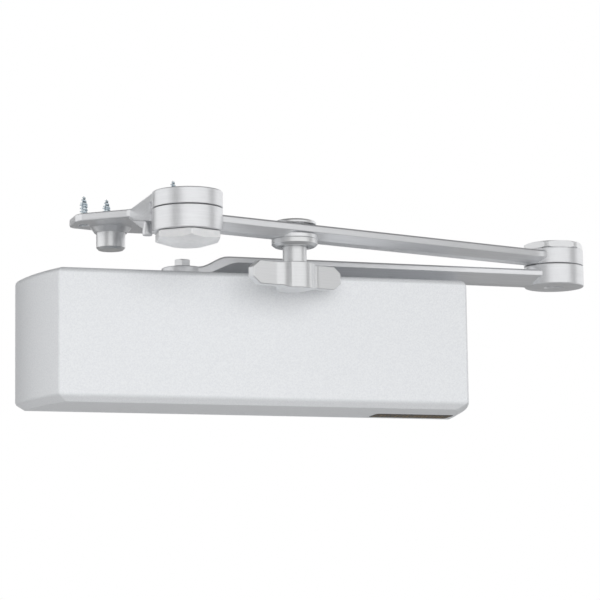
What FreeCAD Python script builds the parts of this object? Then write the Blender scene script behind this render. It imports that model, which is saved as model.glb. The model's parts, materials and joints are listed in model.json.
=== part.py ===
"""Surface door closer with a parallel arm and a thumb-turn hold-open.

Millimetres. X runs along the closer, +Y points into the door and +Z is up.
The origin is the centre of the four door bolts, on the closer's back face.
"""
import FreeCAD, Part
import math
import os

V = FreeCAD.Vector
Z_AXIS = V(0, 0, 1)
X_AXIS = V(1, 0, 0)

# ---------------------------------------------------------------- fits
RUN_FIT = 0.05            # radial clearance where a piece turns or slides
SEAT_FIT = 0.02           # radial clearance where a piece is pressed or screwed in
PASS_GAP = 0.4            # gap between pieces that move past each other

# ---------------------------------------------------------------- cover
COVER_END_GAP = 13.1          # from the body's ears to the front creases
COVER_END_FLARE = 15.4        # how far each end has bowed out at the door
COVER_END_BULGE = 3.0         # how far the end's arc stands outside its chord
COVER_FRONT_GAP = 7.4         # from the body's front to the cover's
COVER_TOP_GAP = 7.65          # from the body's tower to the cover's top
COVER_FOOT_GAP = 4.0          # from the body's tower down to the lower crease
COVER_BEVEL_IN = 6.4
COVER_BEVEL_DROP = 3.8
COVER_WALL = 2.0
COVER_TOP_ROUND = 4.0
COVER_SCREW_INSET = 20.0      # from the end of the barrel
COVER_SCREW_Y = -14.0
COVER_SCREW_R = 2.0
COVER_SCREW_HEAD_R = 4.2
COVER_SCREW_HEAD = 2.0
LABEL_LENGTH = 55.0
LABEL_WIDTH = 18.0
LABEL_THICK = 0.3
LABEL_END_GAP = 24.1          # from the label's centre to the front crease
LABEL_Y = -16.5

# ---------------------------------------------------------------- body
DOOR_BOLT_OUT = 15.0          # from the end of the barrel
DOOR_BOLT_SPACING_Z = 19.0
DOOR_BOLT_HOLE_R = 3.6
BARREL_LENGTH = 200.0
BARREL_FRONT_WALL = 8.35      # from the bore to the barrel's front
BARREL_WALL = 11.0            # above and below the bore
BARREL_ROUND = 14.0
EAR_REACH = 27.0
EAR_THICK = 7.0
EAR_HEIGHT = 36.0
TOWER_R = 22.0
TOWER_HEIGHT = 72.0
PILLAR_R = 6.0
BORE_R = 19.0
CAP_DEPTH = 12.0
CAP_FLANGE = 4.0
EAR_GAP = 0.65                # from the ears to the end caps' flanges
CAP_LIP = 3.0                 # the flange stands this far outside the bore
CAP_SOCKET_R = 7.0
RING_R = 1.1

# ---------------------------------------------------------------- pinion and piston
PINION_X = -48.3
PITCH_R = 11.0
TEETH = 11
TOOTH_ADDENDUM = 1.4
TOOTH_DEDENDUM = 2.0
TOOTH_SHARE = 0.38            # tooth thickness as a share of the pitch
GEAR_FACE = 22.0
JOURNAL_R = 9.0
BEARING_R = 12.6
BEARING_LENGTH = 12.0
BEARING_GAP = 2.0
SEAL_LENGTH = 4.0
SEAL_NUT_FLANGE = 2.2
SEAL_NUT_R = 15.0
SPINDLE_SQUARE = 12.0
SPINDLE_SHORT = 0.8           # the square ends this far below the hub's top
PISTON_HEAD = 10.1            # solid length beyond the slot, which holds the check valve
PISTON_SKIRT = 21.3           # solid length on the spring side
SLOT_GAP = 0.6                # from the pinion's teeth to the slot
ARM_TRAVEL = 76.0             # degrees that the main arm swings towards the room
CHECK_BALL_R = 2.5
CHECK_SEAT_R = 1.5

# ---------------------------------------------------------------- springs and adjusters
OUTER_SPRING_R = 14.3
OUTER_WIRE_R = 2.1
OUTER_TURNS = 8
INNER_SPRING_R = 8.6
INNER_WIRE_R = 1.4
INNER_TURNS = 11
PLUG_THICK = 9.0
POWER_SCREW_R = 5.0
POWER_COLLAR_R = 8.0
POWER_COLLAR = 3.4
POWER_TRAVEL = 9.0
VALVE_R = 3.0
VALVE_LENGTH = 22.0
VALVE_TIP = 4.0
VALVE_Y = -8.0                # the two closing valves, near the door
BACKCHECK_IN = (3.65, 1.0)    # the third valve stands in from the flange's corner

# ---------------------------------------------------------------- main arm
# Heights of the arms, thumb-turn and shoe are measured from the underside of the main arm's hub.
ARM_HUB_GAP = 0.6             # from the seal nut to the hub
ELBOW_X = 222.1
ELBOW_Y = -20.4
ELBOW_R = 20.7
ARM_HUB_R = 14.0
ARM_HUB_TOP = 11.7
ARM_FLANGE_Z = 5.8
ARM_FLANGE_HALF = 12.0
ARM_FLANGE_END = 10.0
ARM_BEND = 26.0               # where the rising top levels out
ARM_RISE_END = 36.0
MAIN_BAR = dict(half=13.5, low=9.2, crease=15.1, edge=18.2, top=19.2, low_half=5.5, top_half=12.3)
MAIN_HUB_Z = 9.0
MAIN_HUB_TOP = 23.2
ARM_WASHER_R = 9.5
ARM_WASHER = 0.8
ARM_SCREW_HEX_R = 5.85
ARM_SCREW_HEAD = 5.0
ARM_SCREW_R = 3.0
ARM_SCREW_REACH = 20.0

# ---------------------------------------------------------------- elbow and forearm
ELBOW_JOURNAL_R = 9.0
ELBOW_THREAD_R = 6.2
ELBOW_THREAD_SINK = 2.6       # the bolt's end stands this far inside the hub
ELBOW_CAP_R = 21.8            # across the corners, halved
ELBOW_CAP_WALL = 4.8
ELBOW_CAP_DOME = 1.8
ELBOW_CAP_TURN = -4.4
ELBOW_WASHER_R = 15.0
SHOE_X = -66.4
SHOE_Y = -112.6
FOREARM_BAR = dict(half=13.0, low=23.6, crease=27.55, edge=31.4, top=32.6, low_half=5.5, top_half=11.5)
FOREARM_TAPER = 1.0           # half width gained at the shoe and lost at the elbow
FOREARM_TOP = 34.65
SHOE_HUB_R = 22.7
SHOE_HUB_Z = 21.2
SHOE_HUB_TOP = 36.1
BUSH_WALL = 2.5

# ---------------------------------------------------------------- thumb-turn
HANDLE_AT = 83.0              # along the forearm from the shoe's pivot
STEM_R = 7.9
STEM_SPIGOT_R = 6.0
COLLAR_R = 15.2
COLLAR_Z = 18.7
STEM_PAD_R = 15.0             # round pad under the forearm that the collar turns against
STEM_PAD = 2.8
RETAINER_R = 14.3
RETAINER_THICK = 2.9
SPRING_WASHER = 0.6
HANDLE_HALF = 34.6
HANDLE_Z = -7.8
HANDLE_TOP = 7.7
HANDLE_CLIP_X = 5.5
HANDLE_CLIP_Z = 4.3
HANDLE_BOSS_DROP = 1.8
WING_HALF = 3.3
HANDLE_BOSS_R = 12.5

# ---------------------------------------------------------------- shoe
SHOE_TOP = 47.4
SHOE_PLATE = 5.5
SHOE_NECK_HALF = 22.0
SHOE_NECK_LENGTH = 65.0
SHOE_HALF = 52.6
SHOE_SHOULDER = 93.5          # where the sides of the wide end begin
SHOE_SIDE_END = 110.0
SHOE_BACK = 117.0
SHOE_BACK_BOW = 9.0
SHOE_GAP = 0.5                # washer thickness above and below the forearm hub
STUD_R = 10.0
STUD_HEAD_R = 14.0
STUD_HEAD = 4.2
NUT_R = 22.7
NUT_FACE_R = 11.5
NUT_WALL = 4.3
NUT_CONE = 3.6
NUT_TURN = 21.9
OUTER_SCREW = (44.6, 102.6)   # from the pivot, mirrored to the other side
INNER_SCREW = (27.0, 111.0)
NECK_SCREW_Y = 36.6
NECK_BOSS_R = 10.0
NECK_BOSS_Z = 25.2
SIDE_BOSS = (-17.2, 37.0)     # small boss beside the neck, on the side that the arm never folds to
SIDE_BOSS_R = 3.6
SIDE_BOSS_Z = 24.8
SKIRT = 2.5                   # web down the neck's outer edge on that side
SKIRT_START = 13.0
SKIRT_LOW = (30.3, 39.6)      # its lower edge at the pivot end and at the neck's end
SIDE_RIB_END = (-21.0, 67.0)
FOLD_RIB_END = (24.0, 71.0)
POST_CENTRE = (-24.7, 108.8)   # the stop post is eccentric to the hanger screw that holds it
POST_R = 9.8
POST_Z = 26.8
POST_CHAMFER = 1.5
POST_FLARE_R = 13.6
POST_FLARE = 3.6
POST_FLOOR = 4.0              # solid end below the blind hole for its hanger screw
RIB = 3.0
WOOD_SCREW_R = 2.4            # over the thread
WOOD_SHANK_R = 2.2
THREAD_START = 0.5            # how far the plain shank stands out of the plate
WOOD_SCREW_HEAD_R = 3.9
WOOD_SCREW_HEAD = 2.3
WOOD_SCREW_OUT = 14.5         # length that goes into the frame
WOOD_SCREW_POINT = 6.0
SCREW_SINK = 0.6

# ---------------------------------------------------------------- worked out from the above
BARREL_END = BARREL_LENGTH / 2
TOWER_TOP = TOWER_HEIGHT / 2
COVER_FRONT_LENGTH = BARREL_LENGTH + 2 * (EAR_REACH + COVER_END_GAP)
COVER_BACK_LENGTH = COVER_FRONT_LENGTH + 2 * COVER_END_FLARE
COVER_TOP = TOWER_TOP + COVER_TOP_GAP
COVER_CREASE_Z = -(TOWER_TOP + COVER_FOOT_GAP)
COVER_BOTTOM = COVER_CREASE_Z - COVER_BEVEL_DROP
COVER_SCREW_X = BARREL_END - COVER_SCREW_INSET
LABEL_CENTRE = (COVER_FRONT_LENGTH / 2 - LABEL_END_GAP, LABEL_Y)
DOOR_BOLT_X = BARREL_END + DOOR_BOLT_OUT
CAP_FLANGE_R = BORE_R + CAP_LIP
PINION_Y = -(EAR_THICK + EAR_GAP + CAP_FLANGE_R)
BARREL_DEPTH = BORE_R + BARREL_FRONT_WALL - PINION_Y
BARREL_HEIGHT = 2 * (BORE_R + BARREL_WALL)
COVER_DEPTH = BARREL_DEPTH + COVER_FRONT_GAP
VALVES = {
    "sweep_valve": (VALVE_Y, CAP_FLANGE_R),
    "latch_valve": (VALVE_Y, -CAP_FLANGE_R),
    "backcheck_valve": (PINION_Y - CAP_FLANGE_R + BACKCHECK_IN[0], CAP_FLANGE_R - BACKCHECK_IN[1]),
}
CAP_INNER = BARREL_END - CAP_DEPTH
PILLAR_TOP = COVER_TOP - COVER_WALL
SEAL_Z = GEAR_FACE / 2 + BEARING_GAP + BEARING_LENGTH + 1.0
SEAL_NUT_Z = SEAL_Z + SEAL_LENGTH
SPINDLE_Z = TOWER_TOP + SEAL_NUT_FLANGE
LINKAGE_Z = SPINDLE_Z + ARM_HUB_GAP
SPINDLE_TOP = LINKAGE_Z + ARM_HUB_TOP - SPINDLE_SHORT
PISTON_TRAVEL = PITCH_R * math.radians(ARM_TRAVEL)
SLOT_REACH = PITCH_R + TOOTH_ADDENDUM + SLOT_GAP
PISTON_LEFT_X = PINION_X - PISTON_TRAVEL - SLOT_REACH - PISTON_HEAD
PISTON_RIGHT_X = PINION_X + SLOT_REACH + PISTON_SKIRT
PLUG_RIGHT_X = CAP_INNER - POWER_COLLAR - PASS_GAP
PLUG_LEFT_X = PLUG_RIGHT_X - PLUG_THICK
MAIN_ARM_LENGTH = math.hypot(ELBOW_X - PINION_X, ELBOW_Y - PINION_Y)
MAIN_ARM_TURN = math.degrees(math.atan2(ELBOW_Y - PINION_Y, ELBOW_X - PINION_X))
FOREARM_LENGTH = math.hypot(ELBOW_X - SHOE_X, ELBOW_Y - SHOE_Y)
FOREARM_TURN = math.degrees(math.atan2(ELBOW_Y - SHOE_Y, ELBOW_X - SHOE_X))
FOREARM_HUB_Z = MAIN_HUB_TOP + PASS_GAP
HANDLE_BORE_R = STEM_R + RUN_FIT + BUSH_WALL
RETAINER_Z = FOREARM_BAR["top"] + SPRING_WASHER + 0.1
BOSS_Z = SHOE_HUB_TOP + SHOE_GAP
NUT_TOP = SHOE_HUB_Z - SHOE_GAP
NUT_Z = NUT_TOP - NUT_WALL - NUT_CONE
PLATE_Z = SHOE_TOP - SHOE_PLATE


# ---------------------------------------------------------------- small helpers
def cylinder(r, low, high, x=0.0, y=0.0):
    return Part.makeCylinder(r, high - low, V(x, y, low), Z_AXIS)


def cylinder_x(r, left, right, y, z):
    return Part.makeCylinder(r, right - left, V(left, y, z), X_AXIS)


def box(x0, x1, y0, y1, z0, z1):
    return Part.makeBox(x1 - x0, y1 - y0, z1 - z0, V(x0, y0, z0))


def prism(points, rise):
    corners = [V(*p) for p in points]
    return Part.Face(Part.makePolygon(corners + corners[:1])).extrude(rise)


def hexagon(r, low, high, turn=0.0, x=0.0, y=0.0):
    angles = [math.radians(turn + 60 * k) for k in range(6)]
    points = [(x + r * math.cos(a), y + r * math.sin(a), low) for a in angles]
    return prism(points, V(0, 0, high - low))


def turned(profile):
    """A body of revolution about Z from (radius, height) points."""
    corners = [V(r, 0, z) for r, z in profile]
    return Part.Face(Part.makePolygon(corners + corners[:1])).revolve(V(0, 0, 0), Z_AXIS, 360)


def turned_x(profile, y, z):
    """A body of revolution about a line along X from (x, radius) points."""
    corners = [V(x, y, z + r) for x, r in profile]
    return Part.Face(Part.makePolygon(corners + corners[:1])).revolve(V(0, y, z), X_AXIS, 360)


def ring_x(major, x, y, z):
    return Part.makeTorus(major, RING_R, V(x, y, z), X_AXIS)


def placed(shape, turn, x, y):
    """Turn a piece that was made about the Z axis, and carry it to its pivot."""
    shape = shape.copy()
    shape.rotate(V(0, 0, 0), Z_AXIS, turn)
    shape.translate(V(x, y, 0))
    return shape


def moved(shape, x, y, z=0.0):
    shape = shape.copy()
    shape.translate(V(x, y, z))
    return shape


def fused(first, *others):
    return first.fuse(list(others)).removeSplitter()


def save(name, *shapes):
    solids = [solid for shape in shapes for solid in shape.Solids]
    whole = solids[0] if len(solids) == 1 else Part.makeCompound(solids)
    whole.exportStep("parts/" + name + ".step")


def save_linkage(name, *shapes):
    """Save pieces whose heights start at the underside of the main arm's hub."""
    save(name, *[moved(shape, 0, 0, LINKAGE_Z) for shape in shapes])


# ---------------------------------------------------------------- cover
def cover_outline(inset, z):
    """Plan of the cover: flat front, ends that bow out to the door, open back line."""
    front = COVER_FRONT_LENGTH / 2 - inset
    back = COVER_BACK_LENGTH / 2 - inset
    front_y = inset - COVER_DEPTH
    chord = V(back - front, -front_y, 0)
    out = V(-front_y, front - back, 0).multiply(COVER_END_BULGE / chord.Length)
    middle = V((front + back) / 2, front_y / 2, z) + out
    right = Part.Arc(V(front, front_y, z), middle, V(back, 0, z)).toShape()
    left = Part.Arc(V(-back, 0, z), V(-middle.x, middle.y, z), V(-front, front_y, z)).toShape()
    face = Part.makeLine(V(-front, front_y, z), V(front, front_y, z))
    door = Part.makeLine(V(back, 0, z), V(-back, 0, z))
    return Part.Wire([left, face, right, door])


def cover_block(inset, low, top):
    """Cover-shaped solid, set in from the outside by one wall's thickness where asked."""
    crease = COVER_CREASE_Z
    bevel = [cover_outline(inset + COVER_BEVEL_IN, low), cover_outline(inset, crease)]
    foot = Part.makeLoft(bevel, True, True)
    wall = Part.Face(cover_outline(inset, crease)).extrude(V(0, 0, top - crease))
    return fused(foot, wall)


def make_cover():
    outer = cover_block(0.0, COVER_BOTTOM, COVER_TOP)
    rim = [edge for edge in outer.Edges
           if edge.BoundBox.ZMin > COVER_TOP - 0.1 and edge.BoundBox.YMin < -1]
    outer = outer.makeFillet(COVER_TOP_ROUND, rim)
    inner = cover_block(COVER_WALL, COVER_BOTTOM + COVER_WALL, COVER_TOP - COVER_WALL)
    shell = outer.cut(inner)
    notch_r = ARM_HUB_R + 2.5
    notch = cylinder(notch_r, TOWER_TOP, COVER_TOP + 1, PINION_X, PINION_Y)
    slot = box(PINION_X - notch_r, PINION_X + notch_r, PINION_Y, 1, TOWER_TOP, COVER_TOP + 1)
    holes = [cylinder(COVER_SCREW_R + 0.3, PILLAR_TOP - 1, COVER_TOP + 1, side * COVER_SCREW_X, COVER_SCREW_Y)
             for side in (-1, 1)]
    save("cover", shell.cut([notch, slot] + holes))

    head_top = COVER_TOP + COVER_SCREW_HEAD
    screw = fused(cylinder(COVER_SCREW_R, PILLAR_TOP - 8, COVER_TOP),
                  cylinder(COVER_SCREW_HEAD_R, COVER_TOP, head_top))
    screw = screw.cut(box(-COVER_SCREW_HEAD_R, COVER_SCREW_HEAD_R, -0.5, 0.5, head_top - 1, head_top + 1))
    save("cover_screws", *[moved(screw, side * COVER_SCREW_X, COVER_SCREW_Y) for side in (-1, 1)])

    x, y = LABEL_CENTRE
    save("cover_label", box(x - LABEL_LENGTH / 2, x + LABEL_LENGTH / 2, y - LABEL_WIDTH / 2,
                            y + LABEL_WIDTH / 2, COVER_BOTTOM - LABEL_THICK, COVER_BOTTOM))


# ---------------------------------------------------------------- body, bearings and caps
def make_body():
    depth, half = BARREL_DEPTH, BARREL_HEIGHT / 2
    block = box(-BARREL_END, BARREL_END, -depth, 0, -half, half)
    front = [edge for edge in block.Edges
             if abs(edge.BoundBox.XLength - BARREL_LENGTH) < 0.1 and edge.BoundBox.YMax < 1 - depth]
    block = block.makeFillet(BARREL_ROUND, front)
    ear_end = BARREL_END + EAR_REACH
    ears = box(-ear_end, ear_end, -EAR_THICK, 0, -EAR_HEIGHT / 2, EAR_HEIGHT / 2)
    tower = cylinder(TOWER_R, -TOWER_TOP, TOWER_TOP, PINION_X, PINION_Y)
    pillars = [cylinder(PILLAR_R, half - 1, PILLAR_TOP, side * COVER_SCREW_X, COVER_SCREW_Y)
               for side in (-1, 1)]
    body = fused(block, ears, tower, *pillars)
    cuts = [cylinder_x(BORE_R, -BARREL_END - 1, BARREL_END + 1, PINION_Y, 0),
            cylinder(BEARING_R, -TOWER_TOP - 1, TOWER_TOP + 1, PINION_X, PINION_Y)]
    for side in (-1, 1):
        cuts.append(cylinder(COVER_SCREW_R + SEAT_FIT, PILLAR_TOP - 10, PILLAR_TOP + 1,
                             side * COVER_SCREW_X, COVER_SCREW_Y))
        for level in (-1, 1):
            cuts.append(Part.makeCylinder(DOOR_BOLT_HOLE_R, EAR_THICK + 2,
                                          V(side * DOOR_BOLT_X, -EAR_THICK - 1,
                                            level * DOOR_BOLT_SPACING_Z / 2), V(0, 1, 0)))
    for y, z in VALVES.values():
        cuts.append(cylinder_x(VALVE_R, -BARREL_END - 1, VALVE_LENGTH + VALVE_TIP + 1 - BARREL_END, y, z))
    save("body_casting", body.cut(cuts))


def ring_groove(x):
    """Groove for a bore ring, as (x, radius) steps of the cap's outline."""
    depth = 2 * RING_R + 0.05
    outer = BORE_R - SEAT_FIT
    return [(x - RING_R - 0.2, outer), (x - RING_R - 0.2, outer - depth),
            (x + RING_R + 0.2, outer - depth), (x + RING_R + 0.2, outer)]


def make_end_caps():
    outer = BORE_R - SEAT_FIT
    inner, end = CAP_INNER, BARREL_END
    ring_at = (inner + end) / 2
    outline = [(inner, 0), (inner, outer)] + ring_groove(ring_at)
    outline += [(end, outer), (end, CAP_FLANGE_R), (end + CAP_FLANGE, CAP_FLANGE_R), (end + CAP_FLANGE, 0)]
    blank = turned_x(outline, PINION_Y, 0)
    screw_way = cylinder_x(POWER_SCREW_R + RUN_FIT, inner - 1, end + CAP_FLANGE + 1, PINION_Y, 0)
    save("spring_end_cap", blank.cut(screw_way))

    socket = hexagon(CAP_SOCKET_R, 0, CAP_FLANGE + 1)
    socket.rotate(V(0, 0, 0), V(0, 1, 0), 90)
    plain = blank.mirror(V(0, 0, 0), X_AXIS)
    save("valve_end_cap", plain.cut(moved(socket, -end - CAP_FLANGE - 1, PINION_Y)))
    major = outer - RING_R
    save("end_cap_rings", ring_x(major, ring_at, PINION_Y, 0), ring_x(major, -ring_at, PINION_Y, 0))


def sleeve(inner, outer, low, high):
    return cylinder(outer, low, high).cut(cylinder(inner, low - 1, high + 1))


def make_bearings():
    journal = JOURNAL_R + RUN_FIT
    seat = BEARING_R - SEAT_FIT
    low = GEAR_FACE / 2 + BEARING_GAP
    bearing = sleeve(journal, seat, low, low + BEARING_LENGTH)
    seal = sleeve(journal, seat, SEAL_Z, SEAL_Z + SEAL_LENGTH)
    nut = fused(cylinder(seat, SEAL_NUT_Z, TOWER_TOP),
                hexagon(SEAL_NUT_R, TOWER_TOP, TOWER_TOP + SEAL_NUT_FLANGE))
    nut = nut.cut(cylinder(journal, SEAL_NUT_Z - 1, SPINDLE_Z + 1))
    cap = fused(cylinder(seat, SEAL_NUT_Z, TOWER_TOP),
                hexagon(SEAL_NUT_R, TOWER_TOP, TOWER_TOP + SEAL_NUT_FLANGE))
    below = {"lower_bearing": bearing, "lower_shaft_seal": seal, "lower_shaft_cap": cap}
    above = {"upper_bearing": bearing, "upper_shaft_seal": seal, "upper_seal_nut": nut}
    for name, shape in above.items():
        save(name, moved(shape, PINION_X, PINION_Y))
    for name, shape in below.items():
        save(name, moved(shape.mirror(V(0, 0, 0), Z_AXIS), PINION_X, PINION_Y))


# ---------------------------------------------------------------- pinion and piston
def tooth_half(offset):
    """Half thickness of a tooth at a height above the pitch line, with 20 degree flanks."""
    pitch = 2 * math.pi * PITCH_R / TEETH
    return TOOTH_SHARE * pitch / 2 - offset * math.tan(math.radians(20))


def make_pinion():
    """Shaft with its teeth, a tooth gap facing the rack, and the square for the arm."""
    tip, root = PITCH_R + TOOTH_ADDENDUM, PITCH_R - TOOTH_DEDENDUM
    half = GEAR_FACE / 2
    narrow, wide = tooth_half(TOOTH_ADDENDUM), tooth_half(-TOOTH_DEDENDUM)
    tooth = prism([(root - 1, -wide, -half), (tip, -narrow, -half), (tip, narrow, -half),
                   (root - 1, wide, -half)], V(0, 0, GEAR_FACE))
    step = 360 / TEETH
    teeth = [placed(tooth, 90 + (k + 0.5) * step, 0, 0) for k in range(TEETH)]
    square = SPINDLE_SQUARE / 2
    spindle = box(-square, square, -square, square, SPINDLE_Z - 1, SPINDLE_TOP)
    core = cylinder(root, -half, half)
    journal = cylinder(JOURNAL_R, PASS_GAP - SEAL_NUT_Z, SPINDLE_Z)
    shaft = fused(journal, core, spindle, *teeth)
    tapped = cylinder(ARM_SCREW_R + SEAT_FIT, SPINDLE_TOP - ARM_SCREW_REACH - 2, SPINDLE_TOP + 1)
    save("pinion_shaft", placed(shaft.cut(tapped), 0, PINION_X, PINION_Y))


def make_piston():
    """Piston with a slot for the pinion, a rack on the slot's door side and a check valve."""
    r = BORE_R - RUN_FIT
    blank = cylinder_x(r, PISTON_LEFT_X, PISTON_RIGHT_X, PINION_Y, 0)
    rack_root = PINION_Y + PITCH_R + TOOTH_DEDENDUM
    slot_left = PINION_X - PISTON_TRAVEL - SLOT_REACH
    slot = box(slot_left, PINION_X + SLOT_REACH, PINION_Y - SLOT_REACH, rack_root, -r, r)
    pitch = 2 * math.pi * PITCH_R / TEETH
    half = GEAR_FACE / 2
    narrow, wide = tooth_half(TOOTH_ADDENDUM), tooth_half(-TOOTH_DEDENDUM)
    tip_y = PINION_Y + PITCH_R - TOOTH_ADDENDUM
    teeth = []
    for k in range(-math.floor((PISTON_TRAVEL + SLOT_REACH) / pitch), math.floor(SLOT_REACH / pitch) + 1):
        x = PINION_X + k * pitch
        teeth.append(prism([(x - wide, rack_root + 0.5, -half), (x - narrow, tip_y, -half),
                            (x + narrow, tip_y, -half), (x + wide, rack_root + 0.5, -half)],
                           V(0, 0, GEAR_FACE)))
    port_r = CHECK_BALL_R + 0.3
    mouth = PISTON_LEFT_X + 2.0
    ports = [cylinder_x(port_r + 1.2, PISTON_LEFT_X - 1, mouth, PINION_Y, 0),
             cylinder_x(port_r, PISTON_LEFT_X - 1, mouth + 2 * CHECK_BALL_R + 0.3, PINION_Y, 0),
             cylinder_x(CHECK_SEAT_R, PISTON_LEFT_X - 1, slot_left + 1, PINION_Y, 0)]
    save("piston", fused(blank.cut([slot] + ports), *teeth))
    ball_x = mouth + CHECK_BALL_R + 0.15
    save("check_ball", Part.makeSphere(CHECK_BALL_R, V(ball_x, PINION_Y, 0)))
    retainer = cylinder_x(port_r + 1.2 - SEAT_FIT, PISTON_LEFT_X, mouth, PINION_Y, 0)
    seat = cylinder_x(CHECK_SEAT_R, PISTON_LEFT_X - 1, mouth + 1, PINION_Y, 0)
    save("check_ball_retainer", retainer.cut(seat))


# ---------------------------------------------------------------- springs and adjusters
def coil(mean_r, wire_r, turns):
    """Open coil along X between the piston and the spring plug."""
    start = PISTON_RIGHT_X + wire_r + 0.2
    length = PLUG_LEFT_X - wire_r - 0.2 - start
    helix = Part.makeHelix(length / turns, length, mean_r)
    wire = Part.Wire(Part.makeCircle(wire_r, V(mean_r, 0, 0), V(0, 1, 0)))
    spring = Part.Wire(helix.Edges).makePipeShell([wire], True, True)
    spring.rotate(V(0, 0, 0), V(0, 1, 0), 90)
    spring.translate(V(start, PINION_Y, 0))
    return spring


def make_springs():
    save("outer_spring", coil(OUTER_SPRING_R, OUTER_WIRE_R, OUTER_TURNS))
    save("inner_spring", coil(INNER_SPRING_R, INNER_WIRE_R, INNER_TURNS))

    bore = cylinder_x(POWER_SCREW_R + RUN_FIT, PLUG_LEFT_X - 1, PLUG_RIGHT_X + 1, PINION_Y, 0)
    plug = cylinder_x(BORE_R - RUN_FIT, PLUG_LEFT_X, PLUG_RIGHT_X, PINION_Y, 0)
    save("spring_plug", plug.cut(bore))

    end = BARREL_END + CAP_FLANGE + 1
    screw = fused(cylinder_x(POWER_SCREW_R, PLUG_LEFT_X - POWER_TRAVEL - 2, end, PINION_Y, 0),
                  cylinder_x(POWER_COLLAR_R, CAP_INNER - POWER_COLLAR, CAP_INNER - 0.05, PINION_Y, 0))
    socket = hexagon(POWER_SCREW_R * 0.6, 0, 6)
    socket.rotate(V(0, 0, 0), V(0, 1, 0), 90)
    save("power_screw", screw.cut(moved(socket, end - 5, PINION_Y)))


def make_valves():
    r = VALVE_R - RUN_FIT
    head = -BARREL_END - 1
    tip = head + VALVE_LENGTH
    ring_at = head + 6
    core = r - 1.2
    outline = [(head, 0), (head, r), (ring_at - 0.8, r), (ring_at - 0.8, core), (ring_at + 0.8, core),
               (ring_at + 0.8, r), (tip, r), (tip + VALVE_TIP, 0)]
    rings = []
    for name, (y, z) in VALVES.items():
        slot = box(head - 1, head + 1.2, y - 0.4, y + 0.4, z - r, z + r)
        save(name, turned_x(outline, y, z).cut(slot))
        ring = cylinder_x(VALVE_R - SEAT_FIT, ring_at - 0.7, ring_at + 0.7, y, z)
        rings.append(ring.cut(cylinder_x(core + RUN_FIT, ring_at - 1, ring_at + 1, y, z)))
    save("valve_rings", *rings)


# ---------------------------------------------------------------- arms
def bar_section(s, half, low, crease, edge, top, low_half, top_half):
    """Eight-sided forged section across the arm at distance s."""
    points = [(-half, crease), (-half, edge), (-top_half, top), (top_half, top),
              (half, edge), (half, crease), (low_half, low), (-low_half, low)]
    corners = [V(s, t, z) for t, z in points]
    return Part.makePolygon(corners + corners[:1])


def make_main_arm():
    flange = dict(half=ARM_FLANGE_HALF, low=ARM_FLANGE_Z, crease=ARM_FLANGE_Z + 0.9, edge=ARM_HUB_TOP - 0.9,
                  top=ARM_HUB_TOP, low_half=ARM_FLANGE_HALF - 1, top_half=ARM_FLANGE_HALF - 1)
    bend = dict(half=MAIN_BAR["half"] - 0.4, low=MAIN_BAR["low"] - 2.2, crease=MAIN_BAR["crease"] - 4.4,
                edge=MAIN_BAR["edge"] - 0.8, top=MAIN_BAR["top"] - 0.8, low_half=MAIN_BAR["low_half"] + 3,
                top_half=MAIN_BAR["top_half"] - 0.4)
    stations = [(0, flange), (ARM_FLANGE_END, flange), (ARM_BEND, bend), (ARM_RISE_END, MAIN_BAR),
                (MAIN_ARM_LENGTH, MAIN_BAR)]
    bar = Part.makeLoft([bar_section(s, **section) for s, section in stations], True, True)
    hub = cylinder(ARM_HUB_R, 0, ARM_HUB_TOP)
    elbow = cylinder(ELBOW_R, MAIN_HUB_Z, MAIN_HUB_TOP, MAIN_ARM_LENGTH)
    square = SPINDLE_SQUARE / 2 + SEAT_FIT
    holes = [placed(box(-square, square, -square, square, -1, ARM_HUB_TOP + 1), -MAIN_ARM_TURN, 0, 0),
             cylinder(ELBOW_THREAD_R + SEAT_FIT, MAIN_HUB_Z - 1, MAIN_HUB_TOP + 1, MAIN_ARM_LENGTH)]
    arm = fused(bar, hub, elbow).cut(holes)
    save_linkage("main_arm", placed(arm, MAIN_ARM_TURN, PINION_X, PINION_Y))

    washer = sleeve(ARM_SCREW_R + 0.2, ARM_WASHER_R, ARM_HUB_TOP, ARM_HUB_TOP + ARM_WASHER)
    save_linkage("arm_washer", moved(washer, PINION_X, PINION_Y))
    seat = ARM_HUB_TOP + ARM_WASHER
    screw = fused(cylinder(ARM_SCREW_R, ARM_HUB_TOP - SPINDLE_SHORT - ARM_SCREW_REACH, seat),
                  hexagon(ARM_SCREW_HEX_R, seat, seat + ARM_SCREW_HEAD, 15))
    save_linkage("arm_screw", moved(screw, PINION_X, PINION_Y))


def make_elbow():
    """Shoulder bolt with a domed hexagon cap, screwed into the main arm's hub."""
    flat_r = ELBOW_CAP_R * math.cos(math.radians(30))
    wall_top = FOREARM_TOP + ELBOW_CAP_WALL
    dome_r = (flat_r ** 2 + ELBOW_CAP_DOME ** 2) / (2 * ELBOW_CAP_DOME)
    dome = Part.makeSphere(dome_r, V(0, 0, wall_top + ELBOW_CAP_DOME - dome_r))
    cap = hexagon(ELBOW_CAP_R, FOREARM_TOP + 0.1, wall_top + ELBOW_CAP_DOME + 1, ELBOW_CAP_TURN).common(dome)
    bolt = fused(cap, cylinder(ELBOW_JOURNAL_R, MAIN_HUB_TOP, FOREARM_TOP + 1),
                 cylinder(ELBOW_THREAD_R, MAIN_HUB_Z + ELBOW_THREAD_SINK, MAIN_HUB_TOP + 1))
    save_linkage("elbow_bolt", moved(bolt, ELBOW_X, ELBOW_Y))
    journal = ELBOW_JOURNAL_R + RUN_FIT
    bush = sleeve(journal, journal + BUSH_WALL - SEAT_FIT, FOREARM_HUB_Z, FOREARM_TOP)
    save_linkage("elbow_bush", moved(bush, ELBOW_X, ELBOW_Y))
    washer = sleeve(journal, ELBOW_WASHER_R, MAIN_HUB_TOP, FOREARM_HUB_Z - 0.05)
    save_linkage("elbow_washer", moved(washer, ELBOW_X, ELBOW_Y))


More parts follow.
